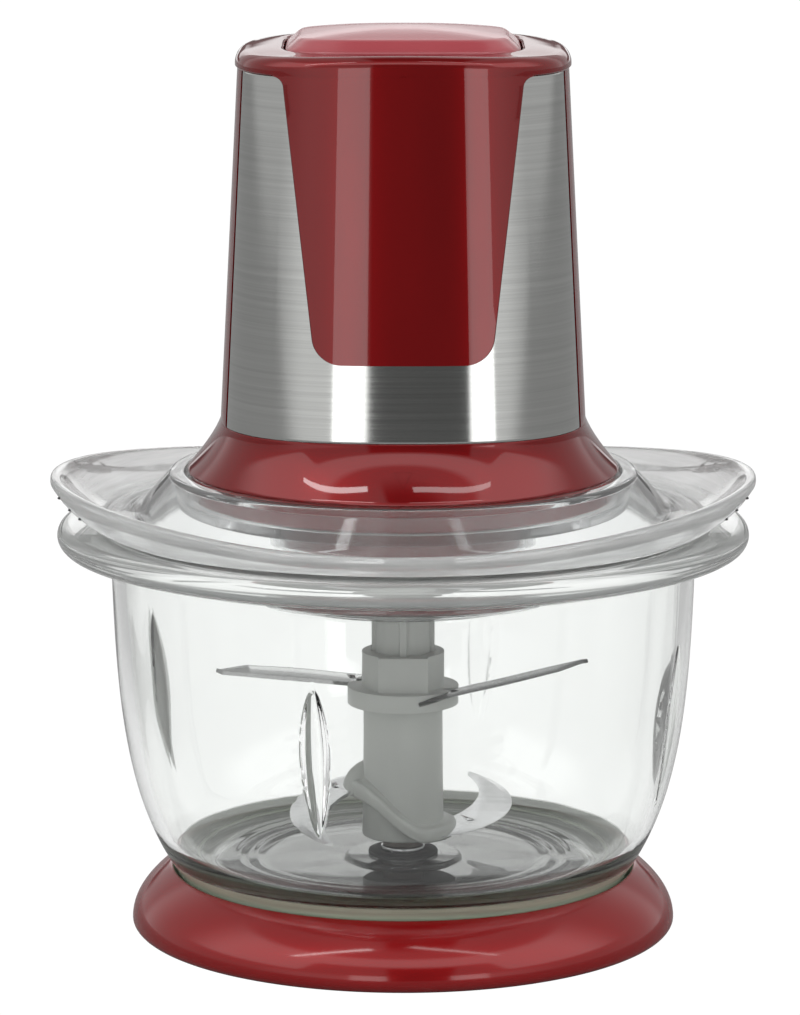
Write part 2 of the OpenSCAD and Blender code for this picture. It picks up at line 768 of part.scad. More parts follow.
plate_t = 2.6;
spigot_r = flare_d / 2 - 0.8;
plate_r = spigot_r - house_wall - fixed_gap;
boss_circle_r = 40;
boss_r = 3.6;
housing_screw_angles = [30, 150, 270];
steel_seat = steel_t + fixed_gap;
recess_half = steel_half_angle + 0.9;
front = 270;
front_points = 28;
back_points = 34;
seat_turn = normal_turn(recess_half, body_square);
back_turn = normal_turn(recess_half + 0.4, body_square);
house_turns = concat(
    [for (i = [0:front_points - 1]) mix(-seat_turn, seat_turn, i / (front_points - 1))],
    [for (i = [0:back_points - 1]) mix(back_turn, 360 - back_turn, i / (back_points - 1))]);

// Half width of the body and squareness of its section at a height
function rise(z) = min(1, max(0, (z - z_flare) / (z_steel - z_flare)));
function body_a(z) = z < z_steel
    ? mix(body_w_low / 2, flare_d / 2, pow(1 - rise(z), 1.45))
    : mix(body_w_low / 2, body_w_high / 2, (z - z_steel) / steel_h);
function body_n(z) = mix(2, body_square, rise(z));
function body_r(z, t) = square_r(body_a(z), body_n(z), t);

// Ring of the body at a height, moved by an offset, with the seat of the steel sunk into its front
function body_ring(z, offset, sunk = 0) = [for (i = [0:len(house_turns) - 1])
    let (t = front + corner_turn(house_turns[i], body_n(z)))
    polar(body_r(z, t) + offset - (i < front_points ? sunk : 0), t, z)];
function spigot_ring(z, r) = [for (v = house_turns) polar(r, front + v, z)];

module housing_shell() {
    flare_steps = [for (u = [0.1:0.15:0.85]) mix(z_flare, z_steel, u)];
    inner_steps = [for (u = [1, 0.7, 0.4, 0.15]) mix(z_flare, z_steel, u)];
    z_end = z_cap - fixed_gap;
    loop_skin(concat(
        [spigot_ring(z_motor, spigot_r), spigot_ring(z_flare - 1.2, spigot_r),
            body_ring(z_flare - 0.6, -0.15), body_ring(z_flare, 0)],
        [for (z = flare_steps) body_ring(z, 0)],
        [body_ring(z_steel - 0.15, 0), body_ring(z_steel - 0.1, 0, steel_seat),
            body_ring(z_end, 0, steel_seat), body_ring(z_end, -house_wall - steel_seat)],
        [for (z = inner_steps) body_ring(z, -house_wall - steel_seat)],
        [spigot_ring(z_motor + plate_t + 3, spigot_r - house_wall),
            spigot_ring(z_motor, spigot_r - house_wall)]));
}

// Screw boss with a web to the wall
module housing_boss(t) {
    h = z_steel + 3 - z_motor - plate_t;
    web_t = 2.4;
    web_h = 8;
    translate([boss_circle_r, 0, z_motor + plate_t]) {
        cylinder(r = boss_r, h = h);
        translate([0, -web_t / 2, h - web_h])
            cube([body_r(z_steel, t) - house_wall - boss_circle_r, web_t, web_h]);
    }
}

module motor_housing() {
    ledge = [9.5, 10, 8];
    cut = 20;
    vent_start = 14;
    color("firebrick") difference() {
        union() {
            housing_shell();
            for (t = housing_screw_angles) rotate(t) housing_boss(t);
            for (t = [0, 180]) rotate(t)
                translate([bracket_screw_x - 4, -ledge[1] / 2, z_bracket - ledge[2]]) cube(ledge);
        }
        for (t = housing_screw_angles) rotate(t)
            translate([boss_circle_r, 0, z_motor]) cylinder(d = screw_d, h = 12);
        for (t = [0, 180]) rotate(t)
            translate([bracket_screw_x, 0, z_bracket - 7]) cylinder(d = screw_d, h = ledge[2]);
        translate([0, body_a(z_motor + gland_h) - cut / 2, z_motor + gland_h]) rotate([-90, 0, 0])
            cylinder(r = gland_neck_r, h = cut);
        for (i = [0:vent_count - 1])
            translate([-vent_l / 2, body_a(z_steel) - cut / 2, z_steel + vent_start + 2 * i * vent_w])
                cube([vent_l, cut, vent_w]);
    }
}

// Sheet of the body's front between two offsets and two heights
module front_sheet(z0, z1, inner, outer, half_angle, steps) {
    turn = normal_turn(half_angle, body_square);
    skin([for (i = [0:steps]) let (t = front + corner_turn(mix(-turn, turn, i / steps), body_square))
        [polar(body_r(z0, t) + inner, t, z0), polar(body_r(z1, t) + inner, t, z1),
            polar(body_r(z1, t) + outer, t, z1), polar(body_r(z0, t) + outer, t, z0)]]);
}

// Outline of the tongue, seen from the front, with hollow corners where it leaves the cap
module tongue_outline(grow) {
    w0 = tongue_low_w + grow;
    w1 = tongue_top_w + grow;
    z0 = z_cap - tongue_l - grow;
    round_r = tongue_round + grow;
    neck_r = tongue_neck - grow;
    neck_z = z_cap - fixed_gap - grow - neck_r;
    right = concat(
        [for (t = [270:15:360]) [w0 - round_r + round_r * cos(t), z0 + round_r + round_r * sin(t)]],
        [for (t = [180:-22.5:90]) [w1 + neck_r + neck_r * cos(t), neck_z + neck_r * sin(t)]],
        [[w1 + neck_r, z_cap + 0.5]]);
    polygon(concat(right, [for (i = [len(right) - 1:-1:0]) [-right[i][0], right[i][1]]]));
}

module tongue_prism(grow) {
    rotate([90, 0, 0]) linear_extrude(body_w_low) tongue_outline(grow);
}

module steel_wrap() {
    color("lightgray") difference() {
        front_sheet(z_steel, z_cap - fixed_gap, -steel_t, 0, steel_half_angle, 33);
        tongue_prism(fixed_gap);
    }
}

opening_gap = 0.4;
cap_top_t = 2.2;
cap_angles = [for (i = [0:59]) corner_turn(6 * i + 3, body_square)];
function cap_ring(inset, z) = [for (t = cap_angles) polar(body_r(z_cap, t) + tongue_proud - inset, t, z)];
function opening_ring(z) = [for (t = cap_angles)
    polar(oblong_r(button_w + opening_gap, button_d + opening_gap, button_square, t), t, z)];

// Cap with the button's opening and a lip that centres it in the housing
module cap() {
    lip_inset = tongue_proud + house_wall + steel_seat + fixed_gap;
    lip_depth = 4;
    loop_skin(concat(
        [cap_ring(lip_inset, z_cap - lip_depth), cap_ring(lip_inset, z_cap - 0.05), cap_ring(0, z_cap)],
        [for (t = [0:22.5:90]) cap_ring(cap_round * (1 - cos(t)), z_top - cap_round * (1 - sin(t)))],
        [opening_ring(z_top), opening_ring(z_top - cap_top_t),
            cap_ring(lip_inset + 1.8, z_top - cap_top_t), cap_ring(lip_inset + 1.8, z_cap - lip_depth)]));
}

module top_cover() {
    color("firebrick") {
        cap();
        intersection() {
            front_sheet(z_cap - tongue_l - 2, z_cap + 1, -steel_t, tongue_proud, 52, 21);
            tongue_prism(0);
        }
    }
}

gland_neck_r = gland_bore / 2 + 1.7;
module cord_gland() {
    wall_y = body_a(z_motor + gland_h);
    neck = house_wall + steel_seat;
    collar_out = 1.6;
    barb_out = 1.2;
    color("black") translate([0, wall_y, z_motor + gland_h]) rotate([-90, 0, 0]) difference() {
        union() {
            translate([0, 0, 0.5]) cylinder(r = gland_neck_r + collar_out, h = 1.6);
            translate([0, 0, -neck - 0.8]) cylinder(r = gland_neck_r - fixed_gap, h = neck + 1.5);
            translate([0, 0, -neck - 2.4]) cylinder(r = gland_neck_r + barb_out, h = 1.8);
        }
        translate([0, 0, -neck - 4]) cylinder(d = gland_bore, h = neck + 8);
    }
}

// Gearbox

function involute(a) = tan(a) * 180 / PI - a;
// Half angle of a tooth at a radius; below the base circle the flank runs straight in
function tooth_half(teeth, r, slack) =
    let (pitch_r = teeth * tooth_module / 2, base_r = pitch_r * cos(20))
    90 / teeth + involute(20) - involute(acos(min(1, base_r / max(r, base_r))))
        - slack / 2 / pitch_r * 180 / PI;

// Outline of a gear with a tooth on +X
function gear_outline(teeth, r_root, r_tip, slack) =
    let (radii = [for (u = [0, 0.3, 0.65, 1]) mix(r_root, r_tip, u)])
    [for (k = [0:teeth - 1]) for (side = [-1, 1]) for (j = [0:3])
        let (r = radii[side < 0 ? j : 3 - j], t = 360 * k / teeth + side * tooth_half(teeth, r, slack))
        [r * cos(t), r * sin(t)]];

module gear(teeth, h) {
    r = teeth * tooth_module / 2;
    linear_extrude(h)
        polygon(gear_outline(teeth, r - dedendum * tooth_module, r + addendum * tooth_module, backlash));
}

z_ring_gear = z_gear - 0.3;
module ring_gear() {
    r = ring_teeth * tooth_module / 2;
    h = z_gear_plate - z_ring_gear;
    color("ivory") translate([0, 0, z_ring_gear]) linear_extrude(h) difference() {
        circle(r = ring_out_r, $fn = 96);
        rotate(180 / ring_teeth)
            polygon(gear_outline(ring_teeth, r - addendum * tooth_module, r + dedendum * tooth_module,
                -backlash));
    }
}

bush_out_r = journal_d / 2 + run_fit + bush_wall;
z_bush_top = z_carrier - 0.5;
module gear_housing() {
    seat_in = 3.6;
    boss_out = bush_out_r + gear_wall;
    nose_round = well_round - drop_gap;
    color("firebrick") difference() {
        rotate_extrude() polygon(concat(
            [[bush_out_r, z_nose]],
            [for (t = [0:22.5:90])
                [nose_r - nose_round + nose_round * sin(t), z_nose + nose_round * (1 - cos(t))]],
            [[nose_r, z_motor], [plate_r, z_motor], [plate_r, z_motor + plate_t],
                [nose_in_r, z_motor + plate_t], [nose_in_r, z_ring_gear], [nose_in_r - seat_in, z_ring_gear],
                [nose_in_r - seat_in - 3, z_nose + nose_bottom_t + 1.5],
                [nose_in_r - seat_in - 5, z_nose + nose_bottom_t], [boss_out, z_nose + nose_bottom_t],
                [boss_out, z_bush_top], [bush_out_r, z_bush_top]]));
        for (t = housing_screw_angles) rotate(t) translate([boss_circle_r, 0, z_motor - 1]) {
            cylinder(d = screw_d + 0.4, h = plate_t + 2);
            cylinder(d = 2 * screw_d + 0.4, h = 2.4);
        }
    }
}

module output_bush() {
    color("peru") translate([0, 0, z_journal])
        tube(bush_out_r, journal_d / 2 + run_fit, z_bush_top - z_journal);
}

motor_screw_r = 11;
module gearbox_plate() {
    color("dimgray") translate([0, 0, z_gear_plate]) difference() {
        cylinder(r = nose_in_r - fixed_gap, h = gear_plate_t);
        translate([0, 0, -1]) cylinder(d = shaft_d + 3, h = gear_plate_t + 2);
        for (t = [0, 180]) rotate(t) translate([motor_screw_r, 0, -1]) {
            cylinder(d = screw_d + 0.4, h = gear_plate_t + 2);
            cylinder(d = 2 * screw_d + 0.4, h = 2.8);
        }
    }
}

module planet_carrier() {
    disc_r = carrier_r + planet_pin_d / 2 + 2.4;
    color("ivory") difference() {
        union() {
            translate([0, 0, z_journal]) cylinder(d = journal_d, h = z_carrier + carrier_t - z_journal);
            translate([0, 0, z_carrier]) cylinder(r = disc_r, h = carrier_t);
        }
        translate([0, 0, z_journal - 1]) cylinder(d = spindle_d + 2 * lift_gap, h = socket_h + 1);
        spline_bars(spindle_tip_r + lift_gap, spline_w + 2 * lift_gap, z_journal - 1, z_socket_top);
        for (t = planet_angles) rotate(t) translate([carrier_r, 0, z_carrier + pin_foot])
            cylinder(d = planet_pin_d, h = carrier_t);
    }
}

module planet_pins() {
    color("silver") for (t = planet_angles) rotate(t)
        translate([carrier_r, 0, z_carrier + pin_foot])
            cylinder(d = planet_pin_d, h = z_gear_top - z_carrier - pin_foot);
}

module planet_gear(t) {
    color("ivory") translate([carrier_r * cos(t), carrier_r * sin(t), z_gear]) difference() {
        gear(planet_teeth, gear_w);
        translate([0, 0, -1]) cylinder(d = planet_pin_d + 2 * run_fit, h = gear_w + 2);
    }
}

module planet_gear_1() {
    planet_gear(planet_angles[0]);
}

module planet_gear_2() {
    planet_gear(planet_angles[1]);
}

module planet_gear_3() {
    planet_gear(planet_angles[2]);
}

module sun_pinion() {
    color("goldenrod") translate([0, 0, z_gear]) difference() {
        gear(sun_teeth, gear_w);
        translate([0, 0, -1]) cylinder(d = shaft_d, h = gear_w + 2);
    }
}

// Motor

can_r = can_d / 2;
bush_r = shaft_d / 2 + run_fit + bush_wall;
z_core = z_can + 13;
end_turn_h = 7;
z_commutator = z_core + core_h + end_turn_h + 0.5;
commutator_r = 7;
brush_w = 5;
brush_h = 4;
z_brush = z_can_top + 1;
cap_skin_t = 2;

module motor_can() {
    color("darkgray") translate([0, 0, z_can]) difference() {
        cylinder(r = can_r, h = can_h);
        translate([0, 0, can_t]) cylinder(r = can_r - can_t, h = can_h);
        translate([0, 0, -1]) cylinder(r = bush_r, h = can_t + 2);
        for (t = [0, 180]) rotate(t) translate([motor_screw_r, 0, -1]) cylinder(d = screw_d, h = can_t + 2);
    }
}

module lower_bush() {
    color("peru") {
        translate([0, 0, z_can]) tube(bush_r, shaft_d / 2 + run_fit, 5);
        translate([0, 0, z_can + can_t]) tube(bush_r + 1.2, bush_r, 1.2);
    }
}

module motor_magnets() {
    inner = core_d / 2 + air_gap;
    color("dimgray") for (t = [0, 180]) rotate(t) translate([0, 0, z_core - 3]) intersection() {
        tube(can_r - can_t, inner, core_h + 6);
        linear_extrude(core_h + 6) polygon([[0, 0], [can_d, -can_d * 0.9], [can_d, can_d * 0.9]]);
    }
}

module motor_end_cap() {
    color("black") translate([0, 0, z_can_top]) difference() {
        union() {
            cylinder(r = can_r, h = end_cap_h);
            translate([0, 0, end_cap_h]) cylinder(r = bush_r + cap_skin_t, h = 1.5);
        }
        translate([0, 0, -1]) cylinder(r = commutator_r + 2, h = end_cap_h - cap_skin_t + 1);
        cylinder(r = bush_r, h = 3 * end_cap_h);
        translate([-can_r + 3, -brush_w / 2, z_brush - z_can_top]) cube([2 * can_r - 6, brush_w, brush_h]);
        translate([0, 0, -1]) difference() {
            cylinder(r = can_r - can_t - 1, h = 2.5);
            cylinder(r = commutator_r + 5, h = 3);
        }
    }
}

module upper_bush() {
    color("peru") translate([0, 0, z_end_cap - cap_skin_t])
        tube(bush_r, shaft_d / 2 + run_fit, cap_skin_t + 1.5);
}

module carbon_brushes() {
    color("black") for (t = [0, 180]) rotate(t)
        translate([commutator_r + 0.1, -brush_w / 2, z_brush]) cube([10, brush_w, brush_h]);
}

module motor_shaft() {
    color("silver") translate([0, 0, z_gear]) cylinder(d = shaft_d, h = z_fan + fan_h - z_gear);
}

slot_r = 2;
slot_circle_r = core_d / 2 - slot_r - 2.4;
module armature_core() {
    color("slategray") translate([0, 0, z_core]) difference() {
        cylinder(d = core_d, h = core_h);
        translate([0, 0, -1]) cylinder(d = shaft_d, h = core_h + 2);
        for (i = [0:core_slots - 1]) rotate(360 * i / core_slots) {
            translate([slot_circle_r, 0, -1]) cylinder(r = slot_r, h = core_h + 2);
            translate([slot_circle_r, -0.6, -1]) cube([core_d, 1.2, core_h + 2]);
        }
    }
}

module armature_windings() {
    turn_out = slot_circle_r + slot_r - 0.3;
    turn_in = shaft_d / 2 + 2;
    color("darkorange") {
        for (z = [z_core - end_turn_h, z_core + core_h]) translate([0, 0, z]) rotate_extrude()
            polygon([[turn_in, 0], [turn_out - 2, 0], [turn_out, 2], [turn_out, end_turn_h - 2],
                [turn_out - 2, end_turn_h], [turn_in, end_turn_h]]);
        for (i = [0:core_slots - 1]) rotate(360 * i / core_slots)
            translate([slot_circle_r, 0, z_core - 1]) cylinder(r = slot_r - 0.3, h = core_h + 2);
    }
}

module commutator() {
    h = z_brush + brush_h + 0.5 - z_commutator;
    color("peru") translate([0, 0, z_commutator]) difference() {
        cylinder(r = commutator_r, h = h);
        translate([0, 0, -1]) cylinder(d = shaft_d, h = h + 2);
        for (i = [0:core_slots - 1]) rotate(360 * (i + 0.5) / core_slots)
            translate([commutator_r - 1.2, -0.25, -1]) cube([3, 0.5, h + 2]);
    }
}

module cooling_fan() {
    hub_r = shaft_d / 2 + 3;
    color("white") translate([0, 0, z_fan]) difference() {
        union() {
            cylinder(r = hub_r, h = fan_h);
            cylinder(d = fan_d, h = 1.2);
            for (i = [0:fan_vanes - 1]) rotate(360 * i / fan_vanes)
                translate([hub_r - 1, 0, 0]) rotate(-20) cube([fan_d / 2 - hub_r - 1.5, 1.2, fan_h]);
        }
        translate([0, 0, -1]) cylinder(d = shaft_d, h = fan_h + 2);
    }
}

// Switch, board and button

bracket_w = 20;
bracket_half = body_a(z_bracket) - house_wall - steel_seat - drop_gap;
bracket_screw_x = body_a(z_bracket) - house_wall - 4.5;
post_x = 15;
spring_x = 17;
spring_r = 3.4;
wire_r = 0.45;
spring_turns = 6;
button_flange_t = 1.5;
z_button_flange = z_top - cap_top_t - 0.3 - button_flange_t;
z_spring = z_switch + 0.2;
z_spring_top = z_button_flange - 0.3;

module switch_bracket() {
    color("whitesmoke") difference() {
        union() {
            translate([-bracket_half, -bracket_w / 2, z_bracket])
                cube([2 * bracket_half, bracket_w, bracket_t]);
            for (x = [-post_x, post_x]) translate([x, 8, z_board + board_t])
                cylinder(r = 2.5, h = z_bracket - z_board - board_t + 1);
        }
        for (x = [-bracket_screw_x, bracket_screw_x])
            translate([x, 0, z_bracket - 1]) cylinder(d = screw_d + 0.4, h = bracket_t + 2);
    }
}

switch_l = 20;
switch_w = 10;
plunger_r = 2;
module switch_body() {
    color("black") translate([0, 0, z_switch]) difference() {
        translate([-switch_l / 2, -switch_w / 2, 0]) cube([switch_l, switch_w, switch_h]);
        translate([0, 0, 2]) cylinder(r = plunger_r + 0.3, h = switch_h);
    }
}

module switch_plunger() {
    color("red") translate([0, 0, z_switch + switch_h - 1.5]) cylinder(r = plunger_r, h = plunger_h + 1.5);
}

board_l = 48;
board_w = 24;
board_front = 6;
module circuit_board() {
    color("darkgreen") translate([-board_l / 2, -board_front, z_board]) cube([board_l, board_w, board_t]);
}

module rectifier() {
    size = [12, 8, 4];
    color("black") translate([-size[0] / 2, -size[1] / 2, z_board + board_t]) cube(size);
}

module capacitor() {
    size = [16, 8, 7];
    color("gold") translate([-size[0] / 2, 0, z_board - size[2]]) cube(size);
}

module housing_screws() {
    color("silver") for (t = housing_screw_angles) rotate(t)
        translate([boss_circle_r, 0, z_motor + 1.4]) screw(9, 2 * screw_d, 1.3);
}

module gearbox_screws() {
    color("silver") for (t = [0, 180]) rotate(t)
        translate([motor_screw_r, 0, z_gear_plate + 1.8]) screw(4, 2 * screw_d, 1.6);
}

module bracket_screws() {
    color("silver") for (x = [-bracket_screw_x, bracket_screw_x])
        translate([x, 0, z_switch]) rotate([180, 0, 0]) screw(8, 2 * screw_d - 0.6, 1.8);
}

// Points of a coil spring: rings of six points square to the wire
spring_rings = 8 * spring_turns;
spring_pitch = (z_spring_top - z_spring - 2 * wire_r) / spring_turns;
function coil_point(i) = let (t = 45 * i)
    [spring_r * cos(t), spring_r * sin(t), z_spring + wire_r + spring_pitch * i / 8];
function coil_ring(i) = let (c = coil_point(i), t = 45 * i) [for (s = [0:60:300])
    c + wire_r * [cos(s) * cos(t), cos(s) * sin(t), sin(s)]];
coil_gap = min([for (i = [0:spring_rings - 8]) norm(coil_point(i + 8) - coil_point(i))]) - 2 * wire_r;
echo(button_spring_least_gap = coil_gap);

module button_springs() {
    color("silver") for (x = [-spring_x, spring_x]) translate([x, 0, 0])
        skin([for (i = [spring_rings:-1:0]) coil_ring(i)]);
}

button_turn = pow(button_d / button_w, button_square / (button_square - 1));
button_angles = [for (i = [0:47]) corner_turn(7.5 * i + 3.75, button_square, button_turn)];
function button_ring(inset, z) = [for (t = button_angles)
    polar(oblong_r(button_w - inset, button_d - inset, button_square, t), t, z)];
function crown_z(u) = z_top + lip_h + bevel_h + crown_h * (1 - u * u);
// Ring of the crown at a share of its way out
function crown_ring(u, inset, drop) = [for (t = button_angles)
    polar(u * oblong_r(button_w - inset, button_d - inset, mix(2, button_square, u), t), t,
        crown_z(u) - drop)];

module push_button() {
    shares = [1, 0.8, 0.55, 0.25, 0.05];
    wall_in = bevel_w + button_wall;
    ceiling = button_wall + 0.4;
    flange_out = 1.2;
    stem_bottom = z_switch + switch_h + plunger_h + 0.3;
    color("firebrick") {
        skin(concat(
            [for (i = [len(shares) - 1:-1:0]) crown_ring(shares[i], wall_in, ceiling)],
            [button_ring(wall_in, z_button_flange), button_ring(-flange_out, z_button_flange),
                button_ring(-flange_out, z_button_flange + button_flange_t),
                button_ring(0, z_button_flange + button_flange_t), button_ring(0, z_top + lip_h)],
            [for (u = shares) crown_ring(u, bevel_w, 0)]));
        translate([0, 0, stem_bottom])
            cylinder(r = 3, h = z_top + lip_h + bevel_h + crown_h - 1 - stem_bottom);
        for (x = [-spring_x, spring_x]) translate([x, 0, z_spring_top + 0.1])
            cylinder(r = spring_r + 1, h = z_top + lip_h + bevel_h - ceiling + 1.2 - z_spring_top);
    }
}

// One line for each node
base_ring();
grip_ring();
glass_bowl();
bowl_pin();
pin_washer();
pin_nut();
blade_hub();
hub_bushes();
upper_blade_collar();
upper_blade_right();
upper_blade_left();
lower_blade_back();
lower_blade_front();
lid();
lid_seal();
motor_housing();
steel_wrap();
top_cover();
cord_gland();
gear_housing();
ring_gear();
gearbox_plate();
output_bush();
motor_can();
motor_magnets();
motor_end_cap();
lower_bush();
upper_bush();
carbon_brushes();
switch_bracket();
switch_body();
circuit_board();
rectifier();
capacitor();
housing_screws();
gearbox_screws();
bracket_screws();
button_springs();
push_button();
switch_plunger();
motor_shaft();
armature_core();
armature_windings();
commutator();
cooling_fan();
sun_pinion();
planet_carrier();
planet_pins();
planet_gear_1();
planet_gear_2();
planet_gear_3();
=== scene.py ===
"""Looks of an electric food chopper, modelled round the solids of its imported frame.

Sizes are in millimetres in the part's own frame: +Z up, the front at -Y and the origin in the middle of the
underside. They become metres where a mesh is made. Angles are in degrees.
"""

from __future__ import annotations

import json
import logging
import math
from abc import ABC, abstractmethod
from dataclasses import dataclass, field
from enum import Enum
from functools import lru_cache
from typing import Optional, Sequence, Union

import bpy
from mathutils import Matrix, Vector

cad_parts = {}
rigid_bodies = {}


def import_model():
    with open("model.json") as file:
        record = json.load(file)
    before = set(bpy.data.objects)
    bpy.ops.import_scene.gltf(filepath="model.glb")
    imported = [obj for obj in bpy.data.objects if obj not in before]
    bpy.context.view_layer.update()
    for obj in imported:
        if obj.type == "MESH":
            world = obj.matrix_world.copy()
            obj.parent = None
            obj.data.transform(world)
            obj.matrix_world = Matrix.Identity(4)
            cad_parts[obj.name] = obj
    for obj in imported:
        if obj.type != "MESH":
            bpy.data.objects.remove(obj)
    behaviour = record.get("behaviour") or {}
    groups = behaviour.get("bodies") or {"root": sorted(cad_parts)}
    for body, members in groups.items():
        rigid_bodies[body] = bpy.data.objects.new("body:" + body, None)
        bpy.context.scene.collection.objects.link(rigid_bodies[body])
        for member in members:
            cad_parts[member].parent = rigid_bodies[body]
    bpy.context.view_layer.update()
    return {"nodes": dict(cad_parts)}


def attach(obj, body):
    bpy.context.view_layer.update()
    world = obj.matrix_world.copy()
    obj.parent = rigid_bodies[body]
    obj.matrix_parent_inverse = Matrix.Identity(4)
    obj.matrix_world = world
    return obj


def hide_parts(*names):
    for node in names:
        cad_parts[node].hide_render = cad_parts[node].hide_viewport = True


LOG = logging.getLogger("chopper")
MM = 0.001
FRONT = -90.0  # polar angle of the front
MERGE = 2e-6  # points closer than this become one, in metres
SLIVER = 1e-6  # edges shorter than this are taken out, in metres
TINY = 1e-6  # tolerance where places along a line are compared
ROUND_SHARE = 0.48  # most of a side that the rounding of one corner takes
FLAT_ANGLE = 0.5  # faces that meet flatter than this become one
SMOOTH_ANGLE = 35.0  # edges flatter than this are shaded smooth
ROUND_ANGLE = 50.0  # the same on pieces that are round all over
WAVE_SCALE = 0.314  # scale of a wave texture with one stripe in each metre

Point = tuple[float, float, float]
Flat = tuple[float, float]
Corner = tuple[float, float, float]
Colour = tuple[float, float, float]


def mix(a: float, b: float, u: float) -> float:
    """Value a share of the way from one number to another."""
    return a + (b - a) * u


def polar(r: float, angle: float, z: float) -> Point:
    """Point at a radius, an angle and a height."""
    return (r * math.cos(math.radians(angle)), r * math.sin(math.radians(angle)), z)


def spread(start: float, end: float, steps: int) -> list[float]:
    """Equally spaced values with both ends."""
    return [mix(start, end, i / steps) for i in range(steps + 1)]


def oblong_r(a: float, b: float, power: float, angle: float) -> float:
    """Radius of a rounded rectangle at an angle.

    Args:
        a: Half width along X.
        b: Half width along Y.
        power: Squareness, where 2 is an ellipse.
        angle: Polar angle.

    Returns:
        The radius.
    """
    c = abs(math.cos(math.radians(angle))) / a
    s = abs(math.sin(math.radians(angle))) / b
    return (c**power + s**power) ** (-1.0 / power)


def rounded(corners: Sequence[Corner], steps: int = 5, closed: bool = True) -> list[Flat]:
    """Rounds the corners of an outline.

    Args:
        corners: Points as x, y and the length that the rounding takes off each side.
        steps: Segments of each rounded corner.
        closed: Whether the last corner joins the first.

    Returns:
        The points of the rounded outline.
    """
    points: list[Flat] = []
    count = len(corners)
    for i, (x, y, cut) in enumerate(corners):
        ends = not closed and i in (0, count - 1)
        if cut <= 0.0 or ends:
            points.append((x, y))
            continue
        here = Vector((x, y))
        sides = [Vector(corners[(i + k) % count][:2]) - here for k in (-1, 1)]
        start, end = [here + side.normalized() * min(cut, side.length * ROUND_SHARE) for side in sides]
        for u in spread(0.0, 1.0, steps):
            place = start * (1 - u) ** 2 + here * (2 * u * (1 - u)) + end * u**2
            points.append((place.x, place.y))
    return points


class Wire:
    """A socket of a node tree; arithmetic on it adds Math nodes."""

    def __init__(self, tree: bpy.types.NodeTree, socket: bpy.types.NodeSocket) -> None:
        """Keeps the socket and its tree."""
        self.tree = tree
        self.socket = socket

    def _math(self, operation: str, left: Operand, right: Operand) -> Wire:
        """Adds one Math node.

        Args:
            operation: The Math node's operation.
            left: First value.
            right: Second value.

        Returns:
            The node's output.
        """
        node = self.tree.nodes.new("ShaderNodeMath")
        node.operation = operation
        for socket, value in zip(node.inputs, (left, right)):
            if isinstance(value, Wire):
                self.tree.links.new(value.socket, socket)
            else:
                socket.default_value = value
        return Wire(self.tree, node.outputs[0])

    def __add__(self, other: Operand) -> Wire:
        """Sum."""
        return self._math("ADD", self, other)

    def __radd__(self, other: Operand) -> Wire:
        """Sum from the right."""
        return self._math("ADD", other, self)

    def __sub__(self, other: Operand) -> Wire:
        """Difference."""
        return self._math("SUBTRACT", self, other)

    def __rsub__(self, other: Operand) -> Wire:
        """Difference from the right."""
        return self._math("SUBTRACT", other, self)

    def __mul__(self, other: Operand) -> Wire:
        """Product."""
        return self._math("MULTIPLY", self, other)

    def __rmul__(self, other: Operand) -> Wire:
        """Product from the right."""
        return self._math("MULTIPLY", other, self)

    def __pow__(self, other: Operand) -> Wire:
        """Power."""
        return self._math("POWER", self, other)

    def __abs__(self) -> Wire:
        """Size without its sign."""
        return (self**2.0) ** 0.5


Operand = Union[Wire, float]
Value = Union[Wire, float, tuple]


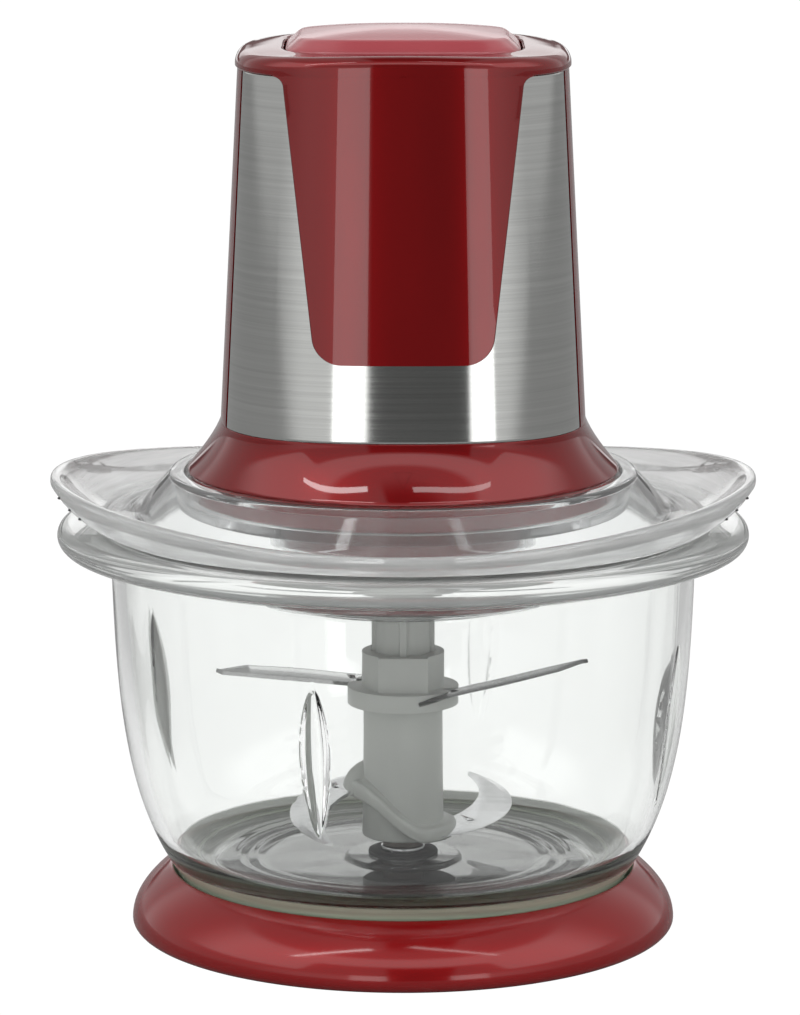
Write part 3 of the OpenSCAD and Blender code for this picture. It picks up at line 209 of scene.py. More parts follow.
class Painter:
    """Adds nodes to one node tree."""

    def __init__(self, tree: bpy.types.NodeTree) -> None:
        """Keeps the tree."""
        self.tree = tree

    def node(
        self,
        kind: str,
        settings: Optional[dict[str, object]] = None,
        sockets: Optional[dict[Union[str, int], Value]] = None,
        output: Union[str, int] = 0,
    ) -> Wire:
        """Adds one node.

        Args:
            kind: The node's type, without its leading word.
            settings: The node's own properties.
            sockets: Values or links of its inputs.
            output: The output to return.

        Returns:
            That output.
        """
        node = self.tree.nodes.new("ShaderNode" + kind)
        for key, value in (settings or {}).items():
            setattr(node, key, value)
        for key, value in (sockets or {}).items():
            self.feed(node.inputs[key], value)
        return Wire(self.tree, node.outputs[output])

    def feed(self, socket: bpy.types.NodeSocket, value: Value) -> None:
        """Links or sets one input.

        Args:
            socket: The input.
            value: A wire, a number, a vector or a colour.
        """
        if isinstance(value, Wire):
            self.tree.links.new(value.socket, socket)
        elif isinstance(value, tuple) and socket.type == "RGBA":
            socket.default_value = (*value, 1.0)
        else:
            socket.default_value = value

    def place(self, scale: Point = (1.0, 1.0, 1.0)) -> Wire:
        """Object coordinates in metres, scaled along each axis."""
        raw = self.node("TexCoord", output="Object")
        return self.node("Mapping", None, {"Vector": raw, "Scale": scale})

    def noise(self, waves: Point, detail: float = 2.0) -> Wire:
        """Noise between 0 and 1.

        Args:
            waves: Waves for each metre along each axis.
            detail: Octaves.

        Returns:
            The noise.
        """
        return self.node("TexNoise", None, {"Vector": self.place(waves), "Scale": 1.0, "Detail": detail})

    def axis(self, letter: str) -> Wire:
        """One object coordinate in metres."""
        return self.node("SeparateXYZ", None, {"Vector": self.place()}, letter)

    def radius(self) -> Wire:
        """Distance from the upright axis in metres."""
        x, y = self.axis("X"), self.axis("Y")
        return (x * x + y * y) ** 0.5

    def ease(self, value: Wire, low: float, high: float) -> Wire:
        """Smooth step from 0 at one value to 1 at another.

        Args:
            value: What is stepped.
            low: Where it starts.
            high: Where it ends.

        Returns:
            The step.
        """
        sockets: dict[Union[str, int], Value] = {"Value": value, "From Min": low, "From Max": high}
        return self.node("MapRange", {"interpolation_type": "SMOOTHSTEP"}, sockets)

    def blend(self, factor: Operand, first: Value, second: Value) -> Wire:
        """Mixes two colours.

        Args:
            factor: Share of the second.
            first: First colour.
            second: Second colour.

        Returns:
            The mixed colour.
        """
        return self.node("Mix", {"data_type": "RGBA"}, {0: factor, 6: first, 7: second}, 2)

    @staticmethod
    def around(noise: Wire, extent: float) -> Wire:
        """Value that follows a noise and stays round one within an extent."""
        return (1.0 - extent / 2.0) + noise * extent

    def tint(self, colour: Colour, amount: Wire) -> Wire:
        """Colour times a value."""
        return self.node("VectorMath", {"operation": "SCALE"}, {"Vector": colour, "Scale": amount})

    def bump(self, height: Wire, strength: float, depth: float = 0.1) -> Wire:
        """Normal bent by a height.

        Args:
            height: The height between 0 and 1.
            strength: Share of the effect.
            depth: Depth in millimetres.

        Returns:
            The normal.
        """
        sockets: dict[Union[str, int], Value] = {
            "Height": height,
            "Strength": strength,
            "Distance": depth * MM,
        }
        return self.node("Bump", None, sockets)


class Brush(Enum):
    """Which way a metal's lines run, as waves for each metre along X, Y and Z."""

    LEVEL = (16.0, 16.0, 3200.0)
    ALONG = (60.0, 2400.0, 2400.0)
    TURNED = (300.0, 300.0, 2600.0)


class Grain(Enum):
    """Size of the unevenness in a finish, as waves for each metre along X, Y and Z."""

    CLOUD = (45.0, 45.0, 45.0)
    WIPE = (90.0, 90.0, 30.0)
    RIPPLE = (70.0, 70.0, 40.0)
    HAZE = (160.0, 160.0, 160.0)
    STREAK = (40.0, 40.0, 900.0)
    MILK = (25.0, 25.0, 25.0)


@dataclass(frozen=True)
class Finish(ABC):
    """A surface finish with the record's slot that it stands for."""

    name: str
    slot: str

    @abstractmethod
    def paint(self, painter: Painter, shader: bpy.types.Node) -> None:
        """Wires the shader."""

    def material(self) -> bpy.types.Material:
        """The finish's material, made once."""
        return made_material(self)


@lru_cache(maxsize=None)
def made_material(finish: Finish) -> bpy.types.Material:
    """Makes a finish's material.

    Args:
        finish: The finish.

    Returns:
        Its material.
    """
    material = bpy.data.materials.new(finish.name)
    material.use_nodes = True
    finish.paint(Painter(material.node_tree), material.node_tree.nodes["Principled BSDF"])
    return material


@dataclass(frozen=True)
class Moulded(Finish):
    """Moulded plastic or rubber with a faint cloud in its colour and a fine skin."""

    colour: Colour
    roughness: float
    coat: float = 0.0
    coat_roughness: float = 0.05
    cloud: float = 0.08
    skin: float = 0.04
    skin_size: float = 0.5
    through: float = 0.0
    metallic: float = 0.0
    gloss: float = 0.5
    edge: Colour = (1.0, 1.0, 1.0)
    wipe: float = 0.4

    def shade(self, painter: Painter) -> Wire:
        """Colour over the surface."""
        cloud = painter.noise(Grain.CLOUD.value, 3.0)
        return painter.tint(self.colour, painter.around(cloud, self.cloud))

    def paint(self, painter: Painter, shader: bpy.types.Node) -> None:
        """Wires colour, gloss and skin.

        Args:
            painter: Adds the nodes.
            shader: The material's shader.
        """
        waves = 1.0 / (self.skin_size * MM)
        skin = painter.noise((waves, waves, waves))
        wipe = painter.noise(Grain.WIPE.value, 4.0)
        painter.feed(shader.inputs["Base Color"], self.shade(painter))
        painter.feed(shader.inputs["Roughness"], self.roughness * painter.around(wipe, self.wipe))
        painter.feed(shader.inputs["Normal"], painter.bump(skin, self.skin))
        painter.feed(shader.inputs["Coat Weight"], self.coat)
        painter.feed(shader.inputs["Coat Roughness"], self.coat_roughness)
        painter.feed(shader.inputs["Transmission Weight"], self.through)
        painter.feed(shader.inputs["Metallic"], self.metallic)
        painter.feed(shader.inputs["Specular IOR Level"], self.gloss)
        painter.feed(shader.inputs["Specular Tint"], self.edge)


@dataclass(frozen=True)
class Skirted(Moulded):
    """Moulded housing with metal flake above a seam and a lighter skirt without metal below it, painted light
    so that its red shows through the lid's collar.
    """

    # Lighter red of the skirt round the spigot: painted light, so that its red shows through the lid's
    # collar; the skirt is the same red plastic as the rest.
    skirt_painted_light: Colour = (0.42, 0.02, 0.02)
    seam_z: float = 117.2
    seam_h: float = 0.2

    def above_seam(self, painter: Painter) -> Wire:
        """One above the seam and nought on the skirt."""
        return painter.ease(painter.axis("Z"), self.seam_z * MM, (self.seam_z + self.seam_h) * MM)

    def shade(self, painter: Painter) -> Wire:
        """Colour over the surface, lighter on the skirt as painted light."""
        return painter.blend(self.above_seam(painter), self.skirt_painted_light, super().shade(painter))

    def paint(self, painter: Painter, shader: bpy.types.Node) -> None:
        """Wires the housing and leaves its painted-light skirt without metal in it."""
        super().paint(painter, shader)
        painter.feed(shader.inputs["Metallic"], self.above_seam(painter) * self.metallic)


@dataclass(frozen=True)
class FloorMoulded(Moulded):
    """Moulded ring with a near-black floor under the bowl, which is painted shade, and a grey liner where the
    bowl's foot stands.
    """

    # Near-black colour of the floor inside the ring: painted shade over the same red plastic.
    dark: Colour = (0.01, 0.006, 0.005)
    liner: Colour = (0.6, 0.64, 0.56)
    floor_r: float = 50.3
    floor_soft: float = 0.3
    liner_r: float = 58.3
    liner_soft: float = 0.1

    def outside(self, painter: Painter) -> Wire:
        """One on the outer face and nought inside the lip."""
        return painter.ease(painter.radius(), (self.liner_r - self.liner_soft) * MM, self.liner_r * MM)

    def shade(self, painter: Painter) -> Wire:
        """Colour over the surface by the distance from the axis, with painted shade on the floor.

        Args:
            painter: Adds the nodes.

        Returns:
            The colour.
        """
        lined = painter.ease(painter.radius(), (self.floor_r - self.floor_soft) * MM, self.floor_r * MM)
        # Near-black floor inside the liner: painted shade.
        inner = painter.blend(lined, self.dark, self.liner)
        return painter.blend(self.outside(painter), inner, super().shade(painter))

    def paint(self, painter: Painter, shader: bpy.types.Node) -> None:
        """Wires the ring and leaves its inside dull.

        Args:
            painter: Adds the nodes.
            shader: The material's shader.
        """
        super().paint(painter, shader)
        outside = self.outside(painter)
        painter.feed(shader.inputs["Coat Weight"], outside * self.coat)
        painter.feed(shader.inputs["Metallic"], outside * self.metallic)


@dataclass(frozen=True)
class Metal(Finish):
    """Metal with brush or turning lines."""

    colour: Colour
    roughness: float
    brush: Brush = Brush.TURNED
    lines: float = 0.12
    streak: float = 0.16
    broad_share: float = 0.22
    wear: float = 0.5

    def paint(self, painter: Painter, shader: bpy.types.Node) -> None:
        """Wires colour, gloss and lines.

        Args:
            painter: Adds the nodes.
            shader: The material's shader.
        """
        fine = painter.noise(self.brush.value, 3.0)
        broad = painter.noise(tuple(waves * self.broad_share for waves in self.brush.value))
        tone = painter.around((fine + broad) * 0.5, 2.0 * self.streak)
        painter.feed(shader.inputs["Base Color"], painter.tint(self.colour, tone))
        painter.feed(shader.inputs["Roughness"], self.roughness * painter.around(fine, self.wear))
        painter.feed(shader.inputs["Normal"], painter.bump(fine, self.lines))
        painter.feed(shader.inputs["Metallic"], 1.0)


@dataclass(frozen=True)
class Clear(Finish):
    """Clear glass or plastic with a faint ripple and some milk in it."""

    tint: Colour
    index: float
    roughness: float = 0.02
    ripple: float = 0.05
    milk: Colour = (0.8, 0.82, 0.82)
    milk_share: float = 0.0
    milk_roughness: float = 0.12
    milk_streak: float = 0.6
    ripple_depth: float = 1.0
    haze: float = 0.02
    wear: float = 1.0

    def paint(self, painter: Painter, shader: bpy.types.Node) -> None:
        """Wires tint, gloss, ripple and milk.

        Args:
            painter: Adds the nodes.
            shader: The material's shader.
        """
        ripple = painter.noise(Grain.RIPPLE.value, 1.0)
        haze = painter.noise(Grain.HAZE.value, 3.0)
        painter.feed(shader.inputs["Base Color"], painter.tint(self.tint, painter.around(haze, self.haze)))
        painter.feed(shader.inputs["Roughness"], self.roughness * painter.around(haze, self.wear))
        painter.feed(shader.inputs["Normal"], painter.bump(ripple, self.ripple, self.ripple_depth))
        painter.feed(shader.inputs["IOR"], self.index)
        painter.feed(shader.inputs["Transmission Weight"], 1.0)
        streaks = painter.noise(Grain.STREAK.value)
        colour = self.shade(painter, painter.around(streaks, self.milk_streak))
        body: dict[Union[str, int], Value] = {"Base Color": colour, "Roughness": self.milk_roughness}
        milky = painter.node("BsdfPrincipled", None, body, "BSDF")
        clear = Wire(painter.tree, shader.outputs["BSDF"])
        mixed = painter.node("MixShader", None, {0: self.share(painter), 1: clear, 2: milky})
        painter.feed(painter.tree.nodes["Material Output"].inputs["Surface"], mixed)

    def shade(self, painter: Painter, tone: Wire) -> Wire:
        """Colour of the milk over the surface."""
        return painter.tint(self.milk, tone)

    def share(self, painter: Painter) -> Wire:
        """Share of milk over the surface."""
        return painter.noise(Grain.MILK.value) * (2.0 * self.milk_share)


@dataclass(frozen=True)
class Footed(Clear):
    """Glass that is green and milky in its foot and pale in its rim, with painted shade under its floor and
    painted light in its side ribs.
    """

    foot_z: float = 19.6
    foot_r: float = 51.0
    foot_edge: float = 1.0
    foot_soft: float = 0.4
    floor_z: float = 12.3
    floor_r: float = 47.5
    floor_edge: float = 1.0
    floor_soft: float = 0.2
    # Share of the near-black milk under the floor, which is painted shade.
    floor_shade_share: float = 0.85
    # Near-black milk under the floor: painted shade.
    dark: Colour = (0.008, 0.006, 0.006)
    rim_z: float = 97.0
    rim_h: float = 3.0
    rim_r: float = 75.0
    rim_soft: float = 2.0
    rim_share: float = 0.3
    rim_milk: Colour = (0.9, 0.92, 0.9)
    rib_turn: float = 162.0
    rib_ends: Flat = (34.25, 78.25)
    rib_w: float = 3.6
    rib_soft: float = 0.4
    # Shares of the white painted light in the ribs at their feet and heads.
    rib_light_shares: Flat = (0.85, 0.6)
    # Part of the ribs' painted light that the right rib keeps.
    right_rib_light: float = 0.35
    # White milk over the side ribs: painted light.
    rib_painted_light: Colour = (0.96, 0.99, 0.95)

    def outside(self, painter: Painter) -> Wire:
        """One over the foot and the wall and nought under the floor."""
        return painter.ease(painter.radius(), self.foot_r * MM, (self.foot_r + self.foot_edge) * MM)

    def rim(self, painter: Painter) -> Wire:
        """One over the rim and nought below it.

        Args:
            painter: Adds the nodes.

        Returns:
            The share.
        """
        high = painter.ease(painter.axis("Z"), self.rim_z * MM, (self.rim_z + self.rim_h) * MM)
        low, wide = (self.rim_r - self.rim_soft) * MM, (self.rim_r + self.rim_soft) * MM
        return high * painter.ease(painter.radius(), low, wide)

    def along(self, painter: Painter) -> Wire:
        """Nought at the lower end of a rib and one at its upper end."""
        low, high = self.rib_ends
        return (painter.axis("Z") - low * MM) * (1.0 / ((high - low) * MM))

    def rib(self, painter: Painter) -> Wire:
        """One over the ribs at the left and the right and nought beside them.

        Args:
            painter: Adds the nodes.

        Returns:
            The share.
        """
        turn = math.radians(self.rib_turn)
        off = abs(painter.axis("Y") * math.cos(turn) - painter.axis("X") * math.sin(turn))
        along = self.along(painter)
        half = along * (1.0 - along) * (4.0 * self.rib_w * MM)
        return painter.ease(half - off, 0.0, self.rib_soft * MM)

    def shade(self, painter: Painter, tone: Wire) -> Wire:
        """Colour of the milk: dark under the floor as painted shade, white in the rim, and white in the side
        ribs as painted light.

        Args:
            painter: Adds the nodes.
            tone: Streaks in the foot's milk.

        Returns:
            The colour.
        """
        # Near-black milk under the floor: painted shade.
        low = painter.blend(self.outside(painter), self.dark, super().shade(painter, tone))
        # White milk over the side ribs: painted light.
        ribbed = painter.blend(self.rib(painter), low, self.rib_painted_light)
        return painter.blend(self.rim(painter), ribbed, self.rim_milk)

    def share(self, painter: Painter) -> Wire:
        """Share of milk: much in the foot, under the floor as painted shade and in the left rib as painted
        light, less in the others.

        Args:
            painter: Adds the nodes.

        Returns:
            The share.
        """
        z = painter.axis("Z")
        low = 1.0 - painter.ease(z, (self.foot_z - self.foot_soft) * MM, (self.foot_z + self.foot_soft) * MM)
        under = 1.0 - painter.ease(z, self.floor_z * MM, (self.floor_z + self.floor_soft) * MM)
        inner_r = self.floor_r - self.floor_edge
        under = under * (1.0 - painter.ease(painter.radius(), inner_r * MM, self.floor_r * MM))
        foot = low * self.outside(painter) * self.milk_share
        at_foot, at_head = self.rib_light_shares
        # The ribs' painted light is stronger in the left rib than in the right.
        left = 1.0 - painter.ease(painter.axis("X"), -MM, MM) * (1.0 - self.right_rib_light)
        rib = self.rib(painter) * left * (at_foot + self.along(painter) * (at_head - at_foot))
        return foot + under * self.floor_shade_share + self.rim(painter) * self.rim_share + rib


@dataclass(frozen=True)
class Rimmed(Clear):
    """Clear plastic that is milky towards its thick rim."""

    rim_r: float = 66.0
    rim_w: float = 12.0
    rim_share: float = 0.32

    def share(self, painter: Painter) -> Wire:
        """Share of milk, growing towards the rim."""
        out = painter.ease(painter.radius(), self.rim_r * MM, (self.rim_r + self.rim_w) * MM)
        return super().share(painter) + out * (self.rim_share - self.milk_share)


@dataclass(frozen=True)
class Striped(Finish):
    """Two colours in stripes along one axis, as on stacked sheets, wound wire and board tracks."""

    light: Colour
    dark: Colour
    pitch: float
    axis: str = "Z"
    metallic: float = 0.0
    roughness: float = 0.5
    waver: float = 0.3
    groove: float = 0.3
    polish: float = 0.4

    def paint(self, painter: Painter, shader: bpy.types.Node) -> None:
        """Wires stripes and gloss.

        Args:
            painter: Adds the nodes.
            shader: The material's shader.
        """
        sockets: dict[Union[str, int], Value] = {
            "Vector": painter.place(),
            "Scale": WAVE_SCALE / (self.pitch * MM),
            "Distortion": self.waver,
        }
        stripe = painter.node("TexWave", {"bands_direction": self.axis}, sockets, "Fac")
        painter.feed(shader.inputs["Base Color"], painter.blend(stripe, self.dark, self.light))
        painter.feed(shader.inputs["Roughness"], self.roughness * painter.around(stripe, -self.polish))
        painter.feed(shader.inputs["Metallic"], self.metallic)
        painter.feed(shader.inputs["Normal"], painter.bump(stripe, self.groove))


DEEP_RED = (0.2, 0.002, 0.003)
SATIN_RED = (0.28, 0.004, 0.005)
EDGE_RED = (0.4, 0.02, 0.02)
RED_GLOSS = Moulded(
    "red_gloss", "red_gloss", DEEP_RED, 0.3, 1.0, 0.03, skin=0.005, metallic=0.55, gloss=0.0, edge=EDGE_RED
)
# Housing whose skirt is painted lighter, as painted light.
RED_HOUSING = Skirted(
    "red_housing", "red_gloss", DEEP_RED, 0.3, 1.0, 0.03, skin=0.005, metallic=0.55, gloss=0.0, edge=EDGE_RED
)
RED_SATIN = FloorMoulded(
    "red_satin", "red_satin", SATIN_RED, 0.34, 1.0, 0.1, skin=0.01, metallic=0.4, gloss=0.0, edge=EDGE_RED
)
RED_BUTTON = Moulded("red_button", "red_gloss", (0.43, 0.065, 0.08), 0.3, 0.6, 0.12, skin=0.004)
RUBBER = Moulded("dark_rubber", "rubber", (0.02, 0.02, 0.021), 0.7, skin=0.25)
# Bowl glass with painted shade under its floor and painted light in its side ribs.
GLASS = Footed("bowl_glass", "glass", (0.968, 0.98, 0.97), 1.5, milk=(0.5, 0.56, 0.44), milk_share=0.85)
CLEAR = Rimmed("lid_clear", "clear_plastic", (0.94, 0.95, 0.95), 1.47, 0.04, 0.02, (0.97, 0.98, 0.97), 0.06)
SEAL = Moulded("seal_silicone", "seal", (0.62, 0.64, 0.65), 0.4, through=0.5)
STEEL = Metal("brushed_steel", "steel", (0.5, 0.505, 0.49), 0.1, Brush.LEVEL, 0.02, 0.3)
BLADE = Metal("blade_steel", "bright_steel", (0.78, 0.78, 0.79), 0.22, Brush.ALONG)
UPPER = Metal("upper_steel", "bright_steel", (0.42, 0.42, 0.42), 0.12, Brush.ALONG, 0.05)
# Darker copy of the upper blade steel, for the right upper blade: painted shade on the same steel as the left
# blade.
UPPER_SHADED = Metal("upper_steel_dark", "bright_steel", (0.07, 0.07, 0.072), 0.2, Brush.ALONG, 0.05)
PIN = Metal("turned_steel", "bright_steel", (0.6, 0.6, 0.61), 0.25)
GREY = Moulded("grey_plastic", "grey_plastic", (0.57, 0.585, 0.56), 0.42, skin=0.06)
BLACK = Moulded("black_plastic", "black_plastic", (0.02, 0.02, 0.022), 0.45, skin=0.1)
WHITE = Moulded("white_plastic", "white_plastic", (0.7, 0.7, 0.68), 0.45)
IVORY = Moulded("gear_nylon", "ivory_plastic", (0.72, 0.66, 0.5), 0.45)
BRONZE = Metal("sintered_bronze", "bronze", (0.5, 0.28, 0.12), 0.45)
BUSH = Metal("oiled_bush", "bronze", (0.13, 0.11, 0.095), 0.4)
CAN = Metal("can_steel", "can_steel", (0.42, 0.43, 0.44), 0.38)
MAGNET = Moulded("ferrite", "magnet", (0.035, 0.035, 0.04), 0.6, skin=0.2)
CORE = Striped(
    "core_sheets", "core", (0.35, 0.35, 0.36), (0.12, 0.12, 0.13), 0.5, metallic=0.9, roughness=0.4
)
COPPER = Striped(
    "copper_wire", "copper", (0.75, 0.26, 0.09), (0.24, 0.07, 0.02), 0.6, metallic=0.9, roughness=0.3
)
CARBON = Moulded("carbon", "carbon", (0.015, 0.015, 0.015), 0.6, skin=0.2)
BOARD = Striped("board_tracks", "board", (0.03, 0.14, 0.05), (0.015, 0.08, 0.03), 3.0, "X", roughness=0.4)


class Bench:
    """Modelling steps, made with Blender's own operators."""

    @staticmethod
    def only(obj: bpy.types.Object) -> None:
        """Selects one object and makes it active.

        Args:
            obj: The object.
        """
        bpy.ops.object.select_all(action="DESELECT")
        obj.select_set(True)
        bpy.context.view_layer.objects.active = obj

    @staticmethod
    def sheet(name: str, rows: Sequence[Sequence[Point]], smooth: float = SMOOTH_ANGLE) -> bpy.types.Object:
        """Shapes a subdivided plane into rows of points and closes its seams and poles.

        Args:
            name: Name of the piece.
            rows: Rows of points in millimetres, all of one length.
            smooth: Angle under which edges are shaded smooth.

        Returns:
            The piece.
        """
        bpy.ops.object.select_all(action="DESELECT")
        across, along = len(rows[0]) - 1, len(rows) - 1
        bpy.ops.mesh.primitive_grid_add(x_subdivisions=across, y_subdivisions=along, size=2.0)
        obj = bpy.context.active_object
        obj.name = obj.data.name = name
        for vertex in obj.data.vertices:
            row = round((vertex.co.y + 1.0) / 2.0 * along)
            column = round((vertex.co.x + 1.0) / 2.0 * across)
            vertex.co = Vector(rows[row][column]) * MM
        Bench.close(obj)
        Bench.smooth(obj, smooth)
        return obj

    @staticmethod
    def tube(
        name: str,
        rings: Sequence[Sequence[Point]],
        looped: bool = False,
        capped: bool = False,
        smooth: float = SMOOTH_ANGLE,
    ) -> bpy.types.Object:
        """Closed skin over rings.

        Args:
            name: Name of the piece.
            rings: Rings of points in millimetres.
            looped: Whether the last ring joins the first.
            capped: Whether both ends are closed at their middles.
            smooth: Angle under which edges are shaded smooth.

        Returns:
            The piece.
        """
        rows = [list(ring) + [ring[0]] for ring in rings]
        if looped:
            rows.append(rows[0])
        if capped:
            for at, ring in ((0, rings[0]), (len(rows) + 1, rings[-1])):
                middle = sum((Vector(p) for p in ring), Vector()) / len(ring)
                rows.insert(at, [tuple(middle)] * len(rows[0]))
        return Bench.sheet(name, rows, smooth)

    @staticmethod
    def lathe(name: str, outline: Sequence[Flat], steps: int) -> bpy.types.Object:
        """Turns an outline round the upright axis.

        Args:
            name: Name of the piece.
            outline: Radii and heights in millimetres.
            steps: Segments round the axis.

        Returns:
            The piece.
        """
        angles = spread(0.0, 360.0, steps)[:-1]
        return Bench.tube(name, [[polar(r, t, z) for t in angles] for r, z in outline])

    @staticmethod
    def close(obj: bpy.types.Object) -> None:
        """Merges a piece's seams and poles and turns its faces outwards.

        Args:
            obj: The piece.
        """
        Bench.only(obj)
        bpy.ops.object.mode_set(mode="EDIT")
        bpy.ops.mesh.select_all(action="SELECT")
        bpy.ops.mesh.remove_doubles(threshold=MERGE)
        bpy.ops.mesh.dissolve_degenerate(threshold=SLIVER)
        bpy.ops.mesh.select_all(action="SELECT")
        bpy.ops.mesh.normals_make_consistent(inside=False)
        bpy.ops.object.mode_set(mode="OBJECT")

    @staticmethod
    def smooth(obj: bpy.types.Object, angle: float) -> None:
        """Shades a piece smooth where its edges are flatter than an angle."""
        Bench.only(obj)
        bpy.ops.object.shade_smooth_by_angle(angle=math.radians(angle))

    @staticmethod
    def bevel(obj: bpy.types.Object, width: float, segments: int = 2, angle: float = 40.0) -> None:
        """Rounds the sharp edges of a piece.

        Args:
            obj: The piece.
            width: Width in millimetres.
            segments: Steps of the rounding.
            angle: Edges sharper than this are rounded.
        """
        Bench.only(obj)
        bpy.ops.object.modifier_add(type="BEVEL")
        modifier = obj.modifiers[-1]
        modifier.width = width * MM
        modifier.segments = segments
        modifier.limit_method = "ANGLE"
        modifier.angle_limit = math.radians(angle)
        modifier.harden_normals = False
        bpy.ops.object.modifier_apply(modifier=modifier.name)

    @staticmethod
    def carve(obj: bpy.types.Object, cutter: bpy.types.Object) -> None:
        """Cuts one piece out of another and removes the cutter.

        Args:
            obj: The piece.
            cutter: What is cut out of it.
        """
        Bench.only(obj)
        bpy.ops.object.modifier_add(type="BOOLEAN")
        modifier = obj.modifiers[-1]
        modifier.operation = "DIFFERENCE"
        modifier.solver = "EXACT"
        modifier.object = cutter
        bpy.ops.object.modifier_apply(modifier=modifier.name)
        bpy.data.objects.remove(cutter)

    @staticmethod
    def join(name: str, pieces: Sequence[bpy.types.Object]) -> bpy.types.Object:
        """Joins pieces into one object.

        Args:
            name: Name of the joined piece.
            pieces: What is joined.

        Returns:
            The joined piece.
        """
        bpy.ops.object.select_all(action="DESELECT")
        for piece in pieces:
            piece.select_set(True)
        bpy.context.view_layer.objects.active = pieces[0]
        bpy.ops.object.join()
        pieces[0].name = pieces[0].data.name = name
        return pieces[0]

    @staticmethod
    def copy(name: str, source: bpy.types.Object, place: Optional[Matrix] = None) -> bpy.types.Object:
        """Copy of a piece with its own mesh, put in its place.

        Args:
            name: Name of the copy.
            source: What is copied.
            place: Where its points go.

        Returns:
            The copy.
        """
        obj = bpy.data.objects.new(name, source.data.copy())
        obj.data.name = name
        bpy.context.scene.collection.objects.link(obj)
        if place is not None:
            obj.data.transform(place)
        return obj

    @staticmethod
    def turned(axis: str, angle: float) -> Matrix:
        """Turn about an axis by an angle in degrees."""
        return Matrix.Rotation(math.radians(angle), 4, axis)

    @staticmethod
    def raised(x: float, y: float, z: float) -> Matrix:
        """Move by millimetres."""
        return Matrix.Translation(Vector((x, y, z)) * MM)

    @staticmethod
    def rod(name: str, r: float, x: float, y: float, low: float, high: float) -> bpy.types.Object:
        """Upright round rod at a place, from one height to another.

        Args:
            name: Name of the rod.
            r: Its radius.
            x: Place along X.
            y: Place along Y.
            low: Height of its foot.
            high: Height of its head.

        Returns:
            The rod.
        """
        circle = [polar(r, t, 0.0) for t in spread(0.0, 360.0, 24)[:-1]]
        rings = [[(x + a, y + b, z) for a, b, _ in circle] for z in (low, high)]
        return Bench.tube(name, rings, capped=True)


@dataclass
class SubAssembly(ABC):
    """Pieces that belong together, with the frame's nodes that they dress."""

    nodes: dict[str, bpy.types.Object]
    body: str = field(init=False, default="")

    @abstractmethod
    def build(self) -> None:
        """Makes and dresses every piece."""

    def fit(self, obj: bpy.types.Object, finish: Finish, *replaced: str, body: str = "") -> bpy.types.Object:
        """Gives a piece its finish and its place in the frame.

        Args:
            obj: The piece.
            finish: Its finish.
            replaced: Nodes of the frame that it stands for.
            body: The body it moves with, by default the sub-assembly's own.

        Returns:
            The piece.
        """
        obj.data.materials.clear()
        obj.data.materials.append(finish.material())
        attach(obj, body or self.body)
        if replaced:
            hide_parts(*replaced)
        LOG.info("%s: %d faces, %s", obj.name, len(obj.data.polygons), finish.name)
        return obj

    def dress(self, node: str, finish: Finish, edge: float = 0.2, body: str = "") -> bpy.types.Object:
        """Stands a smooth copy with rounded edges in the place of a node.

        Args:
            node: The node.
            finish: Its finish.
            edge: Width of the rounded edges in millimetres.
            body: The body it moves with, by default the sub-assembly's own.

        Returns:
            The copy.
        """
        obj = Bench.copy(node + "_smooth", self.nodes[node])
        Bench.only(obj)
        bpy.ops.object.mode_set(mode="EDIT")
        bpy.ops.mesh.select_all(action="SELECT")
        bpy.ops.mesh.remove_doubles(threshold=MERGE)
        bpy.ops.mesh.dissolve_limited(angle_limit=math.radians(FLAT_ANGLE))
        bpy.ops.object.mode_set(mode="OBJECT")
        Bench.bevel(obj, edge)
        Bench.smooth(obj, SMOOTH_ANGLE)
        return self.fit(obj, finish, node, body=body)

    def paint(self, finish: Finish, *nodes: str) -> None:
        """Gives nodes of the frame a finish.

        Args:
            finish: The finish.
            nodes: The nodes.
        """
        for node in nodes:
            materials = self.nodes[node].data.materials
            materials.clear()
            materials.append(finish.material())
            LOG.info("%s: kept, %s", node, finish.name)


